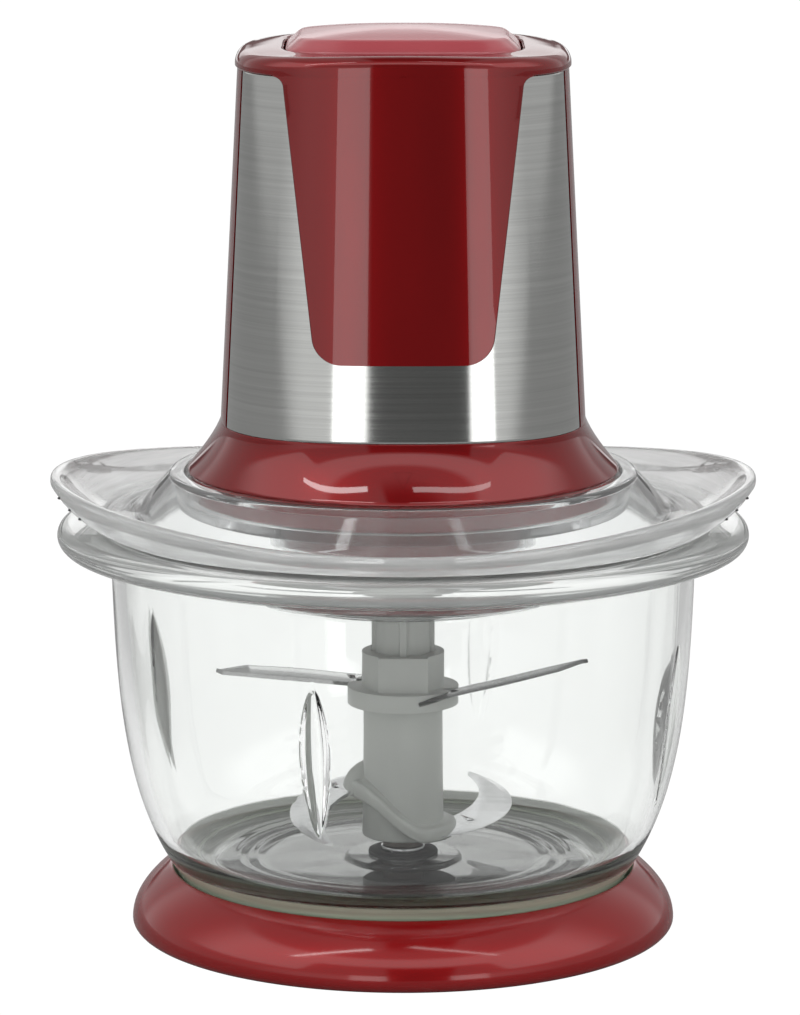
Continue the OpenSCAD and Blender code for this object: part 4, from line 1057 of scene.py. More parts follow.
@dataclass
class Base(SubAssembly):
    """Ring that the bowl stands in, with its rubber grip."""

    wide_r: float = 68.5
    wide_z: float = 2.8
    height: float = 16.4
    seat_z: float = 5.0
    floor_z: float = 2.6
    well_r: float = 55.95
    lip_r: float = 58.19
    lip_w: float = 0.6
    wall: float = 2.4
    foot_z: float = 0.6
    edge_w: float = 3.0
    hollow_z: float = 10.2
    hollow_round: float = 1.0
    lip_drop: float = 0.4
    lip_inset: float = 0.05
    lip_round: float = 0.35
    step_h: float = 2.0
    step_round: float = 0.8
    seat_round: float = 0.9
    heel_z: Flat = (0.9, 1.0)
    fine_round: float = 0.3

    def bulge_r(self, z: float) -> float:
        """Radius of the outer face at a height."""
        draw = self.wide_r - self.lip_r - self.lip_w
        return self.wide_r - draw * ((z - self.wide_z) / (self.height - self.wide_z)) ** 2

    def build(self) -> None:
        """Turns the ring and dresses the grip."""
        self.body = "base"
        heights = spread(self.height - self.lip_drop, self.wide_z, 24)
        edge = self.wide_r - self.edge_w
        hollow = spread(self.wide_z, self.hollow_z, 6)
        heel_out, heel_in = self.heel_z
        corners: list[Corner] = [
            (0.0, self.seat_z, 0.0),
            (self.well_r, self.seat_z, self.seat_round),
            (self.well_r, self.seat_z + self.step_h, self.step_round),
            (self.lip_r, self.height, self.lip_round),
            (self.bulge_r(self.height) - self.lip_inset, self.height, self.fine_round),
        ]
        corners += [(self.bulge_r(z), z, 0.0) for z in heights]
        for angle in spread(-10.0, -90.0, 8):
            down, out = math.sin(math.radians(angle)), math.cos(math.radians(angle))
            corners.append((edge + self.edge_w * out, self.wide_z + (self.wide_z - self.foot_z) * down, 0.0))
        corners += [(self.bulge_r(z) - self.wall, z, 0.0) for z in hollow]
        corners += [
            (self.well_r + self.wall, hollow[-1], self.hollow_round),
            (self.well_r + self.wall, heel_out, self.fine_round),
            (self.well_r - self.wall, heel_in, self.fine_round),
            (self.well_r - self.wall, self.floor_z, self.fine_round),
            (0.0, self.floor_z, 0.0),
        ]
        ring = Bench.lathe("base_skin", rounded(corners, closed=False), 180)
        self.fit(ring, RED_SATIN, "base_ring")
        self.dress("grip_ring", RUBBER, 0.4)


@dataclass
class Bowl(SubAssembly):
    """Glass bowl with leaf-shaped ribs inside, and the pin that the blades turn on."""

    foot_z: float = 5.25
    wide_r: float = 73.6
    draw: float = 25.9
    curve: float = 23.5
    wall: float = 3.6
    height: float = 99.3
    floor_h: float = 13.0
    recess_h: float = 6.5
    foot_r: float = 54.0
    foot_w: float = 6.0
    heel_h: float = 11.0
    flange_r: float = 86.4
    flange_t: float = 6.2
    neck_round: float = 4.0
    mouth_r: float = 69.49
    stud_r: float = 4.15
    boss_r: float = 14.0
    boss_h: float = 0.8
    fillet_h: float = 10.0
    floor_rings: Flat = (37.0, 41.5)
    ring_h: float = 0.3
    ring_w: float = 1.3
    rib_count: int = 4
    rib_turn: float = -18.0
    rib_l: float = 44.0
    rib_t: float = 7.5
    rib_sink: float = 0.9
    rib_h: float = 51.0
    rib_lean: float = 1.25
    rib_power: float = 0.8
    rib_reach: float = 4.2
    mouth_w: float = 3.0
    mouth_h: float = 2.0
    mouth_round: float = 0.9
    wall_drop: float = 3.0
    recess_draw: float = 1.5
    recess_round: float = 1.6
    heel_out: float = 1.0
    foot_round: float = 1.2
    floor_end: float = 2.0
    boss_apron: float = 1.5
    boss_slope: float = 0.6
    boss_rounds: Flat = (0.5, 0.4)

    def wall_r(self, h: float) -> float:
        """Outer radius at a height above the foot."""
        return self.wide_r - self.draw * math.exp(-h / self.curve)

    def outside(self) -> list[Flat]:
        """Outline of the underside, the foot, the wall and the flange.

        Returns:
            Radii and heights above the foot.
        """
        neck = self.height - self.flange_t - self.neck_round
        nose = self.flange_t / 2.0
        inner_foot = self.foot_r - self.foot_w
        points: list[Flat] = rounded(
            [
                (self.stud_r, self.recess_h, 0.0),
                (inner_foot - self.recess_draw, self.recess_h, self.recess_round),
                (inner_foot, 0.0, self.foot_round),
                (self.foot_r + self.heel_out, 0.0, self.foot_round),
                (self.wall_r(self.heel_h), self.heel_h, 0.0),
            ],
            closed=False,
        )
        points += [(self.wall_r(h), h) for h in spread(self.heel_h, neck, 56)[1:]]
        for angle in spread(0.0, 90.0, 7)[1:]:
            turn = math.radians(angle)
            out, up = self.neck_round * (1 - math.cos(turn)), self.neck_round * math.sin(turn)
            points.append((self.wall_r(neck) + out, neck + up))
        for angle in spread(-90.0, 90.0, 16):
            turn = math.radians(angle)
            out, up = nose * math.cos(turn), nose * math.sin(turn)
            points.append((self.flange_r - nose + out, self.height - nose + up))
        return points

    def inside(self) -> list[Flat]:
        """Outline of the mouth, the inner wall and the floor.

        Returns:
            Radii and heights above the foot.
        """
        top = self.floor_h + self.fillet_h
        r0 = self.wall_r(top) - self.wall
        lean = self.draw / self.curve * math.exp(-top / self.curve) * self.fillet_h
        points = rounded(
            [
                (self.mouth_r + self.mouth_w, self.height, 0.0),
                (self.mouth_r, self.height, self.mouth_round),
                (self.mouth_r, self.height - self.mouth_h, 0.0),
            ],
            closed=False,
        )
        for h in spread(self.height - self.wall_drop, top, 84):
            points.append((min(self.mouth_r, self.wall_r(h) - self.wall), h))
        for u in spread(0.0, 1.0, 12)[1:]:
            r = r0 - 2 * lean * u * (1 - u) - (lean + self.fillet_h) * u * u
            points.append((r, self.floor_h + self.fillet_h * (1 - u) ** 2))
        for r in spread(points[-1][0], self.boss_r + self.floor_end, 90)[1:]:
            ring = sum(self.ring_h * math.exp(-(((r - at) / self.ring_w) ** 2)) for at in self.floor_rings)
            points.append((r, self.floor_h + ring))
        low_round, high_round = self.boss_rounds
        points += rounded(
            [
                (self.boss_r + self.boss_apron, self.floor_h, 0.0),
                (self.boss_r + self.boss_slope, self.floor_h, low_round),
                (self.boss_r, self.floor_h + self.boss_h, high_round),
                (self.stud_r, self.floor_h + self.boss_h, 0.0),
            ],
            closed=False,
        )
        return points

    def rib(self, r: float, h: float, angle: float) -> float:
        """How far the ribs stand into the bowl.

        Args:
            r: Radius of the inner wall.
            h: Height above the foot.
            angle: Polar angle.

        Returns:
            The distance inwards.
        """
        u = (h - self.rib_h) / self.rib_l + 0.5
        if not 0.0 < u < 1.0:
            return 0.0
        half = self.rib_t / 2.0 * math.sin(math.pi * u**self.rib_lean) ** self.rib_power
        pitch = 360.0 / self.rib_count
        off = (angle - FRONT - self.rib_turn + pitch / 2.0) % pitch - pitch / 2.0
        side = abs(r * math.radians(off))
        return max(0.0, math.sqrt(max(0.0, half * half - side * side)) - self.rib_sink)

    def angles(self) -> list[float]:
        """Angles of the glass's columns, close together at the ribs.

        Returns:
            The angles in order.
        """
        places = {round(t, 2) for t in spread(0.0, 360.0, 144)[:-1]}
        for i in range(self.rib_count):
            middle = FRONT + self.rib_turn + 360.0 * i / self.rib_count
            places |= {round((middle + t) % 360.0, 2) for t in spread(-self.rib_reach, self.rib_reach, 28)}
        return sorted(places)

    def build(self) -> None:
        """Shapes the glass and dresses the pin."""
        self.body = "bowl"
        angles = self.angles()
        rings = [[polar(r, t, h + self.foot_z) for t in angles] for r, h in self.outside()]
        for r, h in self.inside():
            rings.append([polar(r - self.rib(r, h, t), t, h + self.foot_z) for t in angles])
        self.fit(Bench.tube("bowl_glass", rings, looped=True, smooth=ROUND_ANGLE), GLASS, "glass_bowl")
        self.dress("bowl_pin", PIN)
        self.dress("pin_nut", PIN, 0.3)
        self.dress("pin_washer", RUBBER, 0.3)


@dataclass
class Blades(SubAssembly):
    """Hub on a ramped root with two upper and two staggered lower blades."""

    thick: float = 1.0
    edge_t: float = 0.12
    ground_w: float = 2.2
    ground_share: float = 0.6
    least_w: float = 0.01
    crisp: float = 12.0
    drill: float = 2.0
    hub_z: float = 23.95
    hub_low_r: float = 10.3
    hub_high_r: float = 9.9
    bore_r: float = 5.08
    bore_z: float = 66.05
    shoulder_z: float = 57.75
    spindle_r: float = 6.9
    spindle_z: float = 93.35
    spindle_bevel: float = 1.0
    spindle_round: float = 0.2
    hub_round: float = 0.6
    shoulder_round: float = 0.5
    fine_round: float = 0.3
    spline_in: float = 5.0
    spline_r: float = 7.9
    spline_w: float = 1.9
    spline_count: int = 4
    ring_z: float = 60.1
    upper_root: Flat = (2.5, -11.0)
    upper_turn: float = 16.7
    upper_tilt: float = 9.0
    upper_pitch: float = -7.5
    upper_start: float = -1.5
    upper_l: float = 47.67
    upper_w: float = 9.6
    upper_tip_w: float = 2.0
    upper_tip_l: float = 1.0
    upper_flare: float = 0.02
    upper_drop: float = 1.0
    upper_least: float = 0.3
    upper_notch: Flat = (5.0, 3.0)
    upper_straight: float = 0.55
    upper_bend: Flat = (0.8, 0.7)
    upper_hole: Flat = (11.0, 0.9)
    sickle_z: float = 25.75
    sickle_step: float = 10.0
    low_tilt: float = 5.5
    raised_tilt: float = -8.0
    sickle_hole: Corner = (17.0, 2.0, 1.0)
    outer_c: Flat = (-1.1, 17.5)
    outer_r: float = 29.1
    inner_c: Flat = (-12.7, 25.1)
    inner_r: float = 32.6
    cut_x: float = 2.0
    cut_y: float = 38.5
    lower_start: float = 0.12
    root_r: float = 13.5
    root_t: float = 4.0
    root_stretch: Flat = (0.75, 1.1)
    root_sink: float = 2.0
    root_lift: float = 1.2
    root_toe: Flat = (0.9, 0.4)
    root_rounds: Corner = (0.9, 1.6, 0.8)
    ramp_x: float = -2.8
    ramp_run: float = 8.9
    gusset_h: float = 6.4
    gusset_w: float = 6.4
    gusset_in: float = 1.0
    gusset_sink: float = 0.8
    gusset_ease: float = 30.0
    gusset: Flat = (100.0, 204.0)

    def section(self, cutting: Flat, spine: Flat) -> list[Point]:
        """Cross-section of a blade, ground to an edge on one side.

        Args:
            cutting: Place of the cutting edge.
            spine: Place of the spine.

        Returns:
            A ring of points about the middle of the sheet.
        """
        a, b = Vector(cutting), Vector(spine)
        share = min(self.ground_share, self.ground_w / max((b - a).length, self.least_w))
        c = a.lerp(b, share)
        half, thin = self.thick / 2.0, self.edge_t / 2.0
        places = [(a, -thin), (a, thin), (c, half), (b, half), (b, -half), (c, -half)]
        return [(p.x, p.y, z) for p, z in places]

    def upper(self) -> bpy.types.Object:
        """Shapes the right upper blade, with its cutting edge to the front.

        Returns:
            The piece.
        """
        half, length = self.upper_w / 2.0, self.upper_l
        start, tip = self.upper_start, half - self.upper_tip_w
        notch_x, notch_w = self.upper_notch
        bend_l, bend_w = self.upper_bend
        front = [
            (start, -half + notch_w),
            (notch_x, -half),
            (length * self.upper_straight, -half),
            (length * bend_l, -half * bend_w),
            (length, tip),
        ]
        rings = []
        for x in spread(start, length, 40):
            spans = zip(front, front[1:])
            low = next(mix(p[1], q[1], (x - p[0]) / (q[0] - p[0])) for p, q in spans if x <= q[0] + TINY)
            taper = half - self.upper_tip_w * (x - length + self.upper_tip_l)
            high = min(half - self.upper_drop + self.upper_flare * (x - start), taper)
            rings.append(self.section((x, low), (x, max(high, low + self.upper_least))))
        obj = Bench.tube("upper_blade", rings, capped=True, smooth=self.crisp)
        at, r = self.upper_hole
        Bench.carve(obj, Bench.rod("upper_hole", r, at, 0.0, -self.drill, self.drill))
        place = Bench.raised(*self.upper_root, self.ring_z) @ Bench.turned("Z", self.upper_turn)
        obj.data.transform(place @ Bench.turned("Y", -self.upper_tilt) @ Bench.turned("X", self.upper_pitch))
        return obj

    def lower(self) -> bpy.types.Object:
        """Shapes a lower blade, flat, with its cutting edge outside.

        Returns:
            The piece.
        """
        start = -math.degrees(math.acos((self.cut_x - self.outer_c[0]) / self.outer_r))
        end = math.degrees(math.asin((self.cut_y - self.outer_c[1]) / self.outer_r))
        start_in = -math.degrees(math.acos((self.cut_x - self.inner_c[0]) / self.inner_r))
        end_in = math.degrees(math.asin((self.cut_y - self.inner_c[1]) / self.inner_r))
        rings = []
        for u in spread(self.lower_start, 1.0, 44):
            out = polar(self.outer_r, mix(start, end, u), 0.0)
            inn = polar(self.inner_r, mix(start_in, end_in, u), 0.0)
            cutting = (out[0] + self.outer_c[0], out[1] + self.outer_c[1])
            spine = (inn[0] + self.inner_c[0], inn[1] + self.inner_c[1])
            rings.append(self.section(cutting, spine))
        obj = Bench.tube("lower_blade", rings, capped=True, smooth=self.crisp)
        x, y, r = self.sickle_hole
        Bench.carve(obj, Bench.rod("lower_hole", r, x, y, -self.drill, self.drill))
        obj.data.transform(Bench.raised(0.0, 0.0, self.thick / 2.0))
        return obj

    def ramp(self, x: float) -> float:
        """Share of the way up the ramp of the root at a place across."""
        u = min(1.0, max(0.0, (self.ramp_x + self.ramp_run - x) / (2.0 * self.ramp_run)))
        return u * u * (3.0 - 2.0 * u)

    def root(self) -> bpy.types.Object:
        """Shapes the ring round the hub that ramps up from the low blade to the raised one.

        Returns:
            The piece.
        """
        middle, half = self.sickle_z + self.thick / 2.0, self.root_t / 2.0
        inner, head = self.hub_high_r - self.root_sink, half + self.root_lift
        toe_out, toe_in = self.root_toe
        under_round, over_round, toe_round = self.root_rounds
        corners: list[Corner] = [
            (inner, -half, 0.0),
            (self.root_r, -half, under_round),
            (self.root_r, half, over_round),
            (self.hub_low_r + toe_out, half, toe_round),
            (self.hub_low_r - toe_in, head, 0.0),
            (inner, head, 0.0),
        ]
        angles = spread(0.0, 360.0, 144)[:-1]
        rings = []
        for r, up in rounded(corners, 4):
            ring = []
            for t in angles:
                share = self.ramp(r * math.cos(math.radians(t)))
                stretch = mix(*self.root_stretch, share) if up > 0.0 else 1.0
                ring.append(polar(r, t, middle + self.sickle_step * share + up * stretch))
            rings.append(ring)
        return Bench.tube("root_ring", rings, looped=True, smooth=ROUND_ANGLE)

    def gusset_skin(self) -> bpy.types.Object:
        """Shapes the rounded gusset between the hub and the raised blade.

        Returns:
            The piece.
        """
        base, sink = self.sickle_z + self.sickle_step, self.gusset_sink
        inner, near = self.hub_high_r - self.root_sink, self.hub_high_r - self.gusset_in
        start, end = self.gusset
        arc = [math.radians(a) for a in spread(0.0, 90.0, 8)]
        rings = []
        for t in spread(start, end, 40):
            u = min(1.0, (t - start) / self.gusset_ease, (end - t) / self.gusset_ease)
            high = self.gusset_h * u * (2.0 - u)
            points = [
                (near + self.gusset_w * math.cos(a), base - sink + (high + sink) * math.sin(a)) for a in arc
            ]
            points += [(inner, base + high), (inner, base - sink)]
            rings.append([polar(r, t, z) for r, z in points])
        return Bench.tube("root_gusset", rings, capped=True, smooth=ROUND_ANGLE)

    def hub(self) -> bpy.types.Object:
        """Shapes the hub, its spindle with splines, its root and its gusset.

        Returns:
            The piece.
        """
        bevel, fine = self.spindle_bevel, self.fine_round
        corners: list[Corner] = [
            (0.0, self.bore_z, 0.0),
            (self.bore_r, self.bore_z, 0.0),
            (self.bore_r, self.hub_z, fine),
            (self.hub_low_r, self.hub_z, self.hub_round),
            (self.hub_high_r, self.shoulder_z, self.shoulder_round),
            (self.spindle_r, self.shoulder_z, fine),
            (self.spindle_r, self.spindle_z - bevel, self.spindle_round),
            (self.spindle_r - bevel, self.spindle_z, self.spindle_round),
            (0.0, self.spindle_z, 0.0),
        ]
        pieces = [Bench.lathe("hub_tower", rounded(corners, 4, closed=False), 128)]
        half, near, far = self.spline_w / 2.0, self.spline_in, self.spline_r
        plan = rounded([(near, -half, 0.0), (far, -half, fine), (far, half, fine), (near, half, 0.0)], 3)
        rings = [[(x, y, z) for x, y in plan] for z in (self.shoulder_z, self.spindle_z - bevel)]
        bar = Bench.tube("spline", rings, capped=True)
        for i in range(self.spline_count):
            turn = FRONT + 360.0 * i / self.spline_count
            pieces.append(Bench.copy(f"spline_{i}", bar, Bench.turned("Z", turn)))
        bpy.data.objects.remove(bar)
        return Bench.join("hub_skin", [*pieces, self.root(), self.gusset_skin()])

    def build(self) -> None:
        """Shapes the blades and the hub and dresses the collar."""
        self.body = "blades"
        half_turn = Bench.turned("Z", 180.0)
        low = Bench.raised(0.0, 0.0, self.sickle_z) @ Bench.turned("X", self.low_tilt)
        high = half_turn @ Bench.raised(0.0, 0.0, self.sickle_z + self.sickle_step)
        high = high @ Bench.turned("X", self.raised_tilt)
        for shape, places in (
            # The right upper blade takes the darker copy of its steel as painted shade.
            (self.upper(), (("upper_blade_right", UPPER_SHADED, None), ("upper_blade_left", UPPER, half_turn))),
            (self.lower(), (("lower_blade_back", BLADE, low), ("lower_blade_front", BLADE, high))),
        ):
            for node, finish, place in places:
                self.fit(Bench.copy(node + "_ground", shape, place), finish, node)
            bpy.data.objects.remove(shape)
        self.fit(self.hub(), GREY, "blade_hub")
        self.dress("upper_blade_collar", GREY, 0.4)
        self.paint(BUSH, "hub_bushes")


@dataclass
class Lid(SubAssembly):
    """Clear lid with a well for the gearbox, a collar round the motor and a saddle brim with two wings."""

    flange_z: float = 104.8
    wall: float = 2.4
    well_z: float = 83.6
    seat_z: float = 109.8
    collar_z: float = 117.3
    hole_r: float = 8.5
    well_in_r: float = 31.4
    well_round: float = 9.0
    collar_in_r: float = 54.5
    collar_out_r: float = 57.9
    cone_r: float = 66.9
    brim_r: float = 74.2
    skirt_r: float = 68.04
    skirt_depth: float = 6.8
    front_r: float = 79.5
    tip_out: float = 8.5
    front_h: float = 5.3
    tip_up: float = 6.4
    low_h: float = 0.5
    low_rise: float = 9.9
    out_power: float = 4.2
    up_power: float = 2.4
    low_power: float = 8.5
    brim_power: float = 1.5
    brim_end: float = 3.0
    brim_gap: Flat = (0.4, 0.3)
    brim_stops: Flat = (0.94, 0.86)
    brim_dip: float = 0.8
    band: float = 2.4
    lip_in: Flat = (2.2, 2.4)
    lip_dip: float = 0.1
    lip_step: Flat = (0.5, 0.6)
    lip_round: float = 0.6
    rim_round: float = 1.2
    hole_round: float = 0.4
    well_edge: float = 0.9
    seat_round: float = 0.7
    collar_rounds: Flat = (0.6, 0.9)
    cone_rounds: Flat = (2.4, 1.0)
    cone_walls: float = 1.25
    leg_out: float = 0.3
    leg_round: float = 0.1
    edge_round: float = 0.8
    fine_round: float = 0.3
    columns: int = 216
    dots: tuple[float, ...] = (13.7, 19.0, 23.0)
    dot_r: float = 0.55
    dot_up: float = 0.45
    dot_flat: float = 0.6
    dot_sink: float = 0.1
    dot_smooth: float = 60.0

    def rim(self, angle: float) -> Corner:
        """Radius, upper edge and lower edge of the rim at an angle.

        Args:
            angle: Polar angle.

        Returns:
            The three measures.
        """
        side = abs(math.cos(math.radians(angle)))
        high = self.flange_z + self.front_h + self.tip_up * side**self.up_power
        low = self.flange_z + self.low_h + self.low_rise * side**self.low_power
        return self.front_r + self.tip_out * side**self.out_power, high, min(high - self.band, low)

    def section(self, angle: float) -> list[Flat]:
        """Closed section of the lid at an angle.

        Args:
            angle: Polar angle.

        Returns:
            Radii and heights.
        """
        t, z_dish = self.wall, self.flange_z + self.wall
        leg_r, well_r = self.collar_in_r + t, self.well_in_r + t
        round_in, round_out = self.well_round, self.well_round + t
        r, z, low = self.rim(angle)
        gap_out, gap_up = self.brim_gap
        r0, z0, z1 = self.brim_r + gap_out, self.flange_z + gap_up, self.flange_z + t - gap_up
        r1 = r - self.brim_end
        over_end, under_end = self.brim_stops
        over_in, under_in = self.lip_in
        lip_up, lip_down = self.lip_step
        collar_in_round, collar_out_round = self.collar_rounds
        cone_round, cone_in_round = self.cone_rounds
        edge, fine = self.edge_round, self.fine_round
        arc = [math.radians(a) for a in spread(0.0, 90.0, 8)]
        corners: list[Corner] = [(self.hole_r, self.well_z + t, self.hole_round)]
        for a in arc:
            up = round_in * (1 - math.cos(a))
            corners.append((self.well_in_r - round_in + round_in * math.sin(a), self.well_z + t + up, 0.0))
        corners += [
            (self.well_in_r, self.seat_z, self.well_edge),
            (self.collar_in_r, self.seat_z, self.seat_round),
            (self.collar_in_r, self.collar_z, collar_in_round),
            (self.collar_out_r, self.collar_z, collar_out_round),
            (self.cone_r, z_dish, cone_round),
        ]
        for u in spread(0.0, over_end, 12):
            corners.append((mix(r0, r1, u), mix(z1, z - self.brim_dip, u**self.brim_power), 0.0))
        corners += [
            (r - over_in, z - self.lip_dip, edge),
            (r, z, self.rim_round),
            (r, low, edge),
            (r - under_in, min(low + lip_up, z - t - lip_down), self.lip_round),
        ]
        for u in spread(under_end, 0.0, 10):
            corners.append((mix(r0, r1, u), mix(z0, z - t - self.brim_dip, u**self.brim_power), 0.0))
        corners += [
            (self.brim_r, self.flange_z, fine),
            (self.skirt_r, self.flange_z, fine),
            (self.skirt_r, self.flange_z - self.skirt_depth, edge),
            (self.skirt_r - t, self.flange_z - self.skirt_depth, edge),
            (self.skirt_r - t, self.flange_z, edge),
            (self.cone_r - self.cone_walls * t, self.flange_z + t / 2, cone_in_round),
            (leg_r + self.leg_out, self.collar_z - t, fine),
            (leg_r, self.collar_z - t, self.leg_round),
            (leg_r, self.seat_z - t, edge),
            (well_r, self.seat_z - t, edge),
        ]
        for a in reversed(arc):
            up = round_out * (1 - math.cos(a))
            corners.append((well_r - round_out + round_out * math.sin(a), self.well_z + up, 0.0))
        corners.append((self.hole_r, self.well_z, self.hole_round))
        return rounded(corners, 4)

    def pips(self) -> bpy.types.Object:
        """Small dark pips along the front and back edges of the wings.

        Returns:
            The piece.
        """
        made = []
        bpy.ops.object.select_all(action="DESELECT")
        for side in (0.0, 180.0):
            for mirror in (-1.0, 1.0):
                for turn in self.dots:
                    angle = side + mirror * turn
                    r, _, low = self.rim(angle)
                    bpy.ops.mesh.primitive_uv_sphere_add(segments=16, ring_count=8, radius=self.dot_r * MM)
                    pip = bpy.context.active_object
                    pip.data.transform(Matrix.Scale(self.dot_flat, 4, (0.0, 0.0, 1.0)))
                    pip.data.transform(Bench.raised(*polar(r - self.dot_sink, angle, low + self.dot_up)))
                    pip.matrix_world = Matrix.Identity(4)
                    made.append(pip)
        obj = Bench.join("wing_pips", made)
        Bench.smooth(obj, self.dot_smooth)
        return obj

    def build(self) -> None:
        """Shapes the lid, its pips and its seal."""
        self.body = "lid"
        angles = spread(0.0, 360.0, self.columns)[:-1]
        sections = [self.section(t) for t in angles]
        rings = [
            [polar(s[k][0], t, s[k][1]) for s, t in zip(sections, angles)] for k in range(len(sections[0]))
        ]
        self.fit(Bench.tube("lid_clear", rings, looped=True), CLEAR, "lid")
        self.fit(self.pips(), BLACK)
        self.dress("lid_seal", SEAL, 0.3)


@dataclass
class MotorUnit(SubAssembly):
    """Housing with its steel front, cap and tongue, cord gland, gearbox shell and the pieces inside."""

    soft: float = 40.0
    motor_z: float = 110.05
    flare_z: float = 117.95
    steel_z: float = 131.25
    cap_z: float = 218.65
    top_z: float = 222.65
    flare_r: float = 53.8
    flare_power: float = 1.45
    flare_edge: tuple[Flat, ...] = ((0.9, 0.45), (0.5, 0.12), (0.15, 0.0))
    flare_ends: Flat = (0.2, 0.25)
    low_a: float = 45.3
    high_a: float = 40.7
    square: float = 2.8
    spigot_r: float = 53.0
    spigot_bevel: float = 0.6
    spigot_in_h: float = 5.6
    spigot_end: float = 1.4
    wall: float = 2.4
    wall_end: float = 2.0
    seat: float = 0.85
    seat_edge: float = 0.06
    seat_drops: Flat = (0.12, 0.1)
    seat_rise: float = 0.2
    lip_turn: float = 0.35
    steel_t: float = 0.7
    steel_half: float = 63.5
    steel_margin: float = 0.2
    steel_ends: Flat = (0.5, 0.4)
    steel_rounds: Flat = (0.15, 0.1)
    recess_half: float = 65.0
    recess_margin: float = 0.1
    gap_depth: float = 0.8
    fit_gap: float = 0.15
    proud: float = 0.6
    cap_round: float = 3.2
    cap_front_round: float = 2.6
    cap_front_rise: float = 1.3
    cap_dome: float = 1.0
    cap_top_t: float = 2.2
    cap_lip: float = 4.0
    cap_lip_t: float = 1.8
    cap_bevel: float = 0.3
    front_power: int = 3
    opening: Flat = (29.2, 24.4)
    opening_square: float = 5.0
    opening_round: float = 0.9
    opening_edge: tuple[Flat, ...] = ((0.4, 0.1), (0.1, 0.4), (0.0, 0.9))
    tongue_top_w: float = 28.6
    tongue_low_w: float = 21.2
    tongue_l: float = 68.5
    tongue_round: float = 6.0
    tongue_neck: float = 2.6
    tongue_over: float = 0.8
    tongue_lip: Flat = (0.35, 0.3)
    tongue_bend: Flat = (10.0, 84.0)
    tongue_least: float = 0.05
    vent_count: int = 6
    vent_l: float = 26.0
    vent_w: float = 2.4
    vent_start: float = 14.0
    cut_back: float = 6.0
    cut_depth: float = 14.0
    gland_z: float = 202.05
    gland_r: float = 5.1
    mark_z: float = 123.7
    mark_r: float = 2.3
    mark_inset: float = 0.5
    mark_sink: float = 0.1
    mark_t: float = 0.3
    mark_smooth: float = 30.0

    def rise(self, z: float) -> float:
        """Share of the way up the flare."""
        return min(1.0, max(0.0, (z - self.flare_z) / (self.steel_z - self.flare_z)))

    def half(self, z: float) -> float:
        """Half width of the body at a height.

        Args:
            z: The height.

        Returns:
            The half width.
        """
        if z < self.steel_z:
            return mix(self.low_a, self.flare_r, (1.0 - self.rise(z)) ** self.flare_power)
        return mix(self.low_a, self.high_a, (z - self.steel_z) / (self.cap_z - self.steel_z))

    def radius(self, z: float, angle: float) -> float:
        """Radius of the body at a height and an angle."""
        a = self.half(z)
        return oblong_r(a, a, mix(2.0, self.square, self.rise(z)), angle)

    def ring(self, z: float, angles: Sequence[float], offset: float = 0.0, sunk: float = 0.0) -> list[Point]:
        """Ring of the body, with its front sunk for the steel.

        Args:
            z: Height.
            angles: Polar angles.
            offset: How far it stands out.
            sunk: Depth of the steel's seat.

        Returns:
            The ring.
        """
        points = []
        for t in angles:
            off = abs((t - FRONT + 180.0) % 360.0 - 180.0)
            depth = sunk if off < self.recess_half + self.recess_margin else 0.0
            if depth and off > self.steel_half + self.steel_margin:
                depth += self.gap_depth
            points.append(polar(self.radius(z, t) + offset - depth, t, z))
        return points

    def housing(self) -> bpy.types.Object:
        """Shapes the red housing and cuts its vents and cord hole.

        Returns:
            The piece.
        """
        lip = self.recess_half + self.lip_turn
        angles = [FRONT + t for t in spread(-self.recess_half, self.recess_half, 96)]
        angles += [FRONT + t for t in spread(lip, 360.0 - lip, 132)]
        end = self.cap_z - self.fit_gap
        inner = -self.wall - self.seat
        spigot = (
            (self.spigot_r - self.spigot_bevel, self.motor_z),
            (self.spigot_r, self.motor_z + self.spigot_bevel),
            (self.spigot_r, self.flare_z - self.spigot_end),
        )
        rings = [[polar(r, t, z) for t in angles] for r, z in spigot]
        for drop, inset in self.flare_edge:
            rings.append(self.ring(self.flare_z - drop, angles, -inset))
        foot, head = self.flare_ends
        rings += [self.ring(z, angles) for z in spread(self.flare_z + foot, self.steel_z - head, 28)]
        for drop, sunk in zip(self.seat_drops, (0.0, self.seat)):
            rings.append(self.ring(self.steel_z - drop, angles, -self.seat_edge, sunk))
        seat_z = self.steel_z + self.seat_rise
        rings += [self.ring(z, angles, 0.0, self.seat) for z in spread(seat_z, end, 30)]
        rings += [self.ring(z, angles, inner) for z in spread(end, self.steel_z, 6)]
        inner_z = self.flare_z + self.wall_end
        rings += [self.ring(z, angles, inner) for z in spread(self.steel_z, inner_z, 6)[1:]]
        for z in (self.motor_z + self.spigot_in_h, self.motor_z):
            rings.append([polar(self.spigot_r - self.wall, t, z) for t in angles])
        obj = Bench.tube("housing_skin", rings, looped=True, smooth=self.soft)
        Bench.carve(obj, self.cutter())
        Bench.smooth(obj, self.soft)
        return obj

    def cutter(self) -> bpy.types.Object:
        """Vent slots with round ends and the cord hole, as one shape.

        Returns:
            The shape.
        """
        made = []
        start = self.high_a - self.cut_back
        depths = (start, start + self.cut_depth)
        half, end = self.vent_l / 2.0, self.vent_w / 2.0
        bends = [math.radians(a) for a in spread(-90, 90, 8)]
        outline = [(half - end + end * math.cos(a), end * math.sin(a)) for a in bends]
        outline += [(-x, -y) for x, y in outline]
        for i in range(self.vent_count):
            z = self.steel_z + self.vent_start + 2.0 * i * self.vent_w + end
            rings = [[(x, y, z + up) for x, up in outline] for y in depths]
            made.append(Bench.tube("vent_cut", rings, capped=True))
        circle = [polar(self.gland_r, a, 0.0) for a in spread(0.0, 360.0, 40)[:-1]]
        rings = [[(x, y, up + self.gland_z) for x, up, _ in circle] for y in depths]
        made.append(Bench.tube("gland_cut", rings, capped=True))
        return Bench.join("housing_cuts", made)

